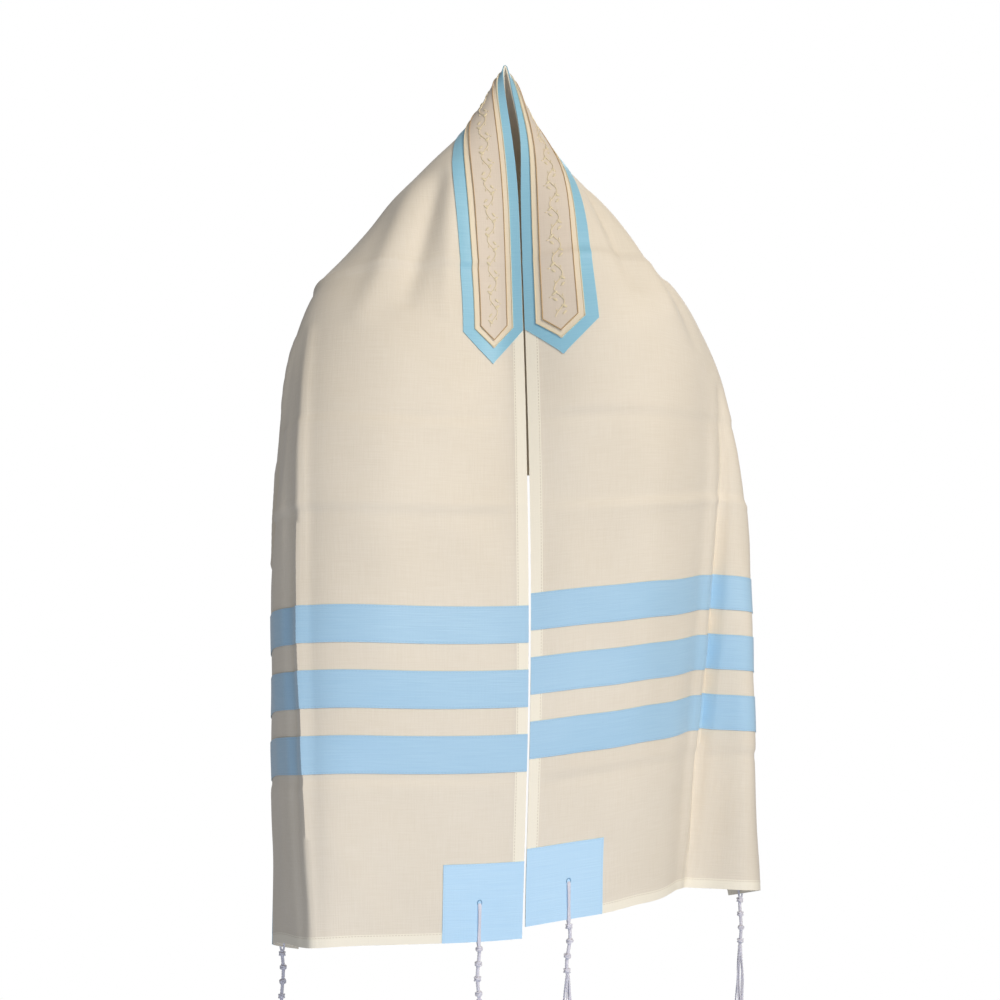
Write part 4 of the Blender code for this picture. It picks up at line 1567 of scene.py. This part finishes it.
@dataclass
class Studio:
    """A plain pale studio: a round floor that rises into a dome, soft lights, and the camera."""

    floor: float = -1.62
    radius: float = 7.0
    camera_place: tuple[float, float, float] = (-0.0134, -2.53, -0.274)
    lens: float = 77.6
    sensor: float = 36
    sight: float = 60
    sky: float = 0.33
    lamps: tuple[Lamp, ...] = (
        Lamp("key", (1.9, -2.8, 1.4), 1.4, 84.0, -0.35, "#FFF7EC"),
        Lamp("fill", (0.2, -1.9, -1.25), 1.0, 11.5, -0.80, "#D3E2FF"),
        Lamp("rear", (0.9, 3.0, 1.6), 2.0, 32.0, -0.35, "#FFFFFF"),
    )

    def build(self) -> None:
        """Make the studio."""
        self.dome()
        self.lights()
        data = bpy.data.cameras.new("camera")
        data.lens = self.lens
        data.sensor_width = self.sensor
        data.clip_end = self.sight
        camera = bpy.data.objects.new("camera", data)
        camera.location = self.camera_place
        camera.rotation_euler = (math.pi / 2, 0, 0)
        bpy.context.scene.collection.objects.link(camera)
        bpy.context.scene.camera = camera

    def dome(self) -> None:
        """Make the floor and the dome, seen by the camera alone, so the sky's light reaches the shawl."""
        work = bmesh.new()
        bmesh.ops.create_uvsphere(work, u_segments=64, v_segments=32, radius=self.radius)
        for vert in work.verts:
            vert.co.z = max(vert.co.z, self.floor)
        bmesh.ops.reverse_faces(work, faces=work.faces[:])
        mesh = mesh_of(work, "studio_dome")
        mesh.shade_smooth()
        dome = new_piece("studio_dome", mesh)
        material = bpy.data.materials.new("pale_studio_paper")
        material.use_nodes = True
        tree = material.node_tree
        tree.nodes.clear()
        glow = node(tree, "ShaderNodeEmission", Color=(1.0, 1.0, 1.0, 1.0), Strength=1.0)
        node(tree, "ShaderNodeOutputMaterial", Surface=glow.outputs[0])
        mesh.materials.append(material)
        for kind in ("diffuse", "glossy", "transmission", "shadow"):
            setattr(dome, f"visible_{kind}", False)

    def lights(self) -> None:
        """Light the shawl softly from the front right, with a pale sky round it."""
        world = bpy.data.worlds.new("pale_sky")
        world.use_nodes = True
        background = world.node_tree.nodes["Background"]
        background.inputs[0].default_value = linear("#F4F5FA")
        background.inputs[1].default_value = self.sky
        bpy.context.scene.world = world
        for lamp in self.lamps:
            lamp.build()


def make_materials(finishes: Finishes) -> dict[str, Material]:
    """Make every material, with edge stitches where each piece has its own edges.

    Args:
        finishes: the finishes.

    Returns:
        The materials by the keys that the makers use.
    """
    keys = ("cream", "inlay", "panel", "band", "embroidery", "piping", "wool", "eyelet")
    made = {key: getattr(finishes, key).make() for key in keys}
    for side in Side:
        for word, (low, high) in zip(Stripes.words, CUT.stripe_edges(side)):
            edges = ((-1.0, 0.0, low, STITCH_INSET), (1.0, 0.0, -high, STITCH_INSET))
            made[f"stripe_{side.word}_{word}"] = replace_finish(finishes.blue, f"{side.word}_{word}", edges)
        for end in End:
            top = CUT.half(side) - CUT.square_height
            beside = (0.0, -1.0, CUT.square_width, STITCH_INSET)
            if end is End.REAR:
                beside = (0.0, 1.0, CUT.square_width - CUT.width, STITCH_INSET)
            edges = ((1.0, 0.0, -top, STITCH_INSET), beside)
            key = f"square_{end.value}_{side.word}"
            made[key] = replace_finish(finishes.square, f"{end.value}_{side.word}", edges)
    return made


def replace_finish(
    finish: ClothFinish, word: str, edges: tuple[tuple[float, float, float, float], ...]
) -> Material:
    """Make a finish again under its own name, with stitches along these edges."""
    return replace(finish, name=f"{finish.name}_{word}", stitch_edges=edges).make()


def main() -> None:
    """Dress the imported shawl."""
    logging.basicConfig(level=logging.INFO, format="%(name)s: %(message)s")
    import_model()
    bpy.context.scene.view_settings.view_transform = "Standard"
    Studio().build()
    drape = Drape(creases=Creases())
    work = ClothWork(ShellMaker(drape), make_materials(Finishes()))
    cloth = ShawlCloth(work).build()
    Stripes(work, cloth).build()
    CornerSquares(work, cloth).build()
    Neckband(work, cloth).build()
    Tassels(work).build()


if __name__ == "__main__":
    main()
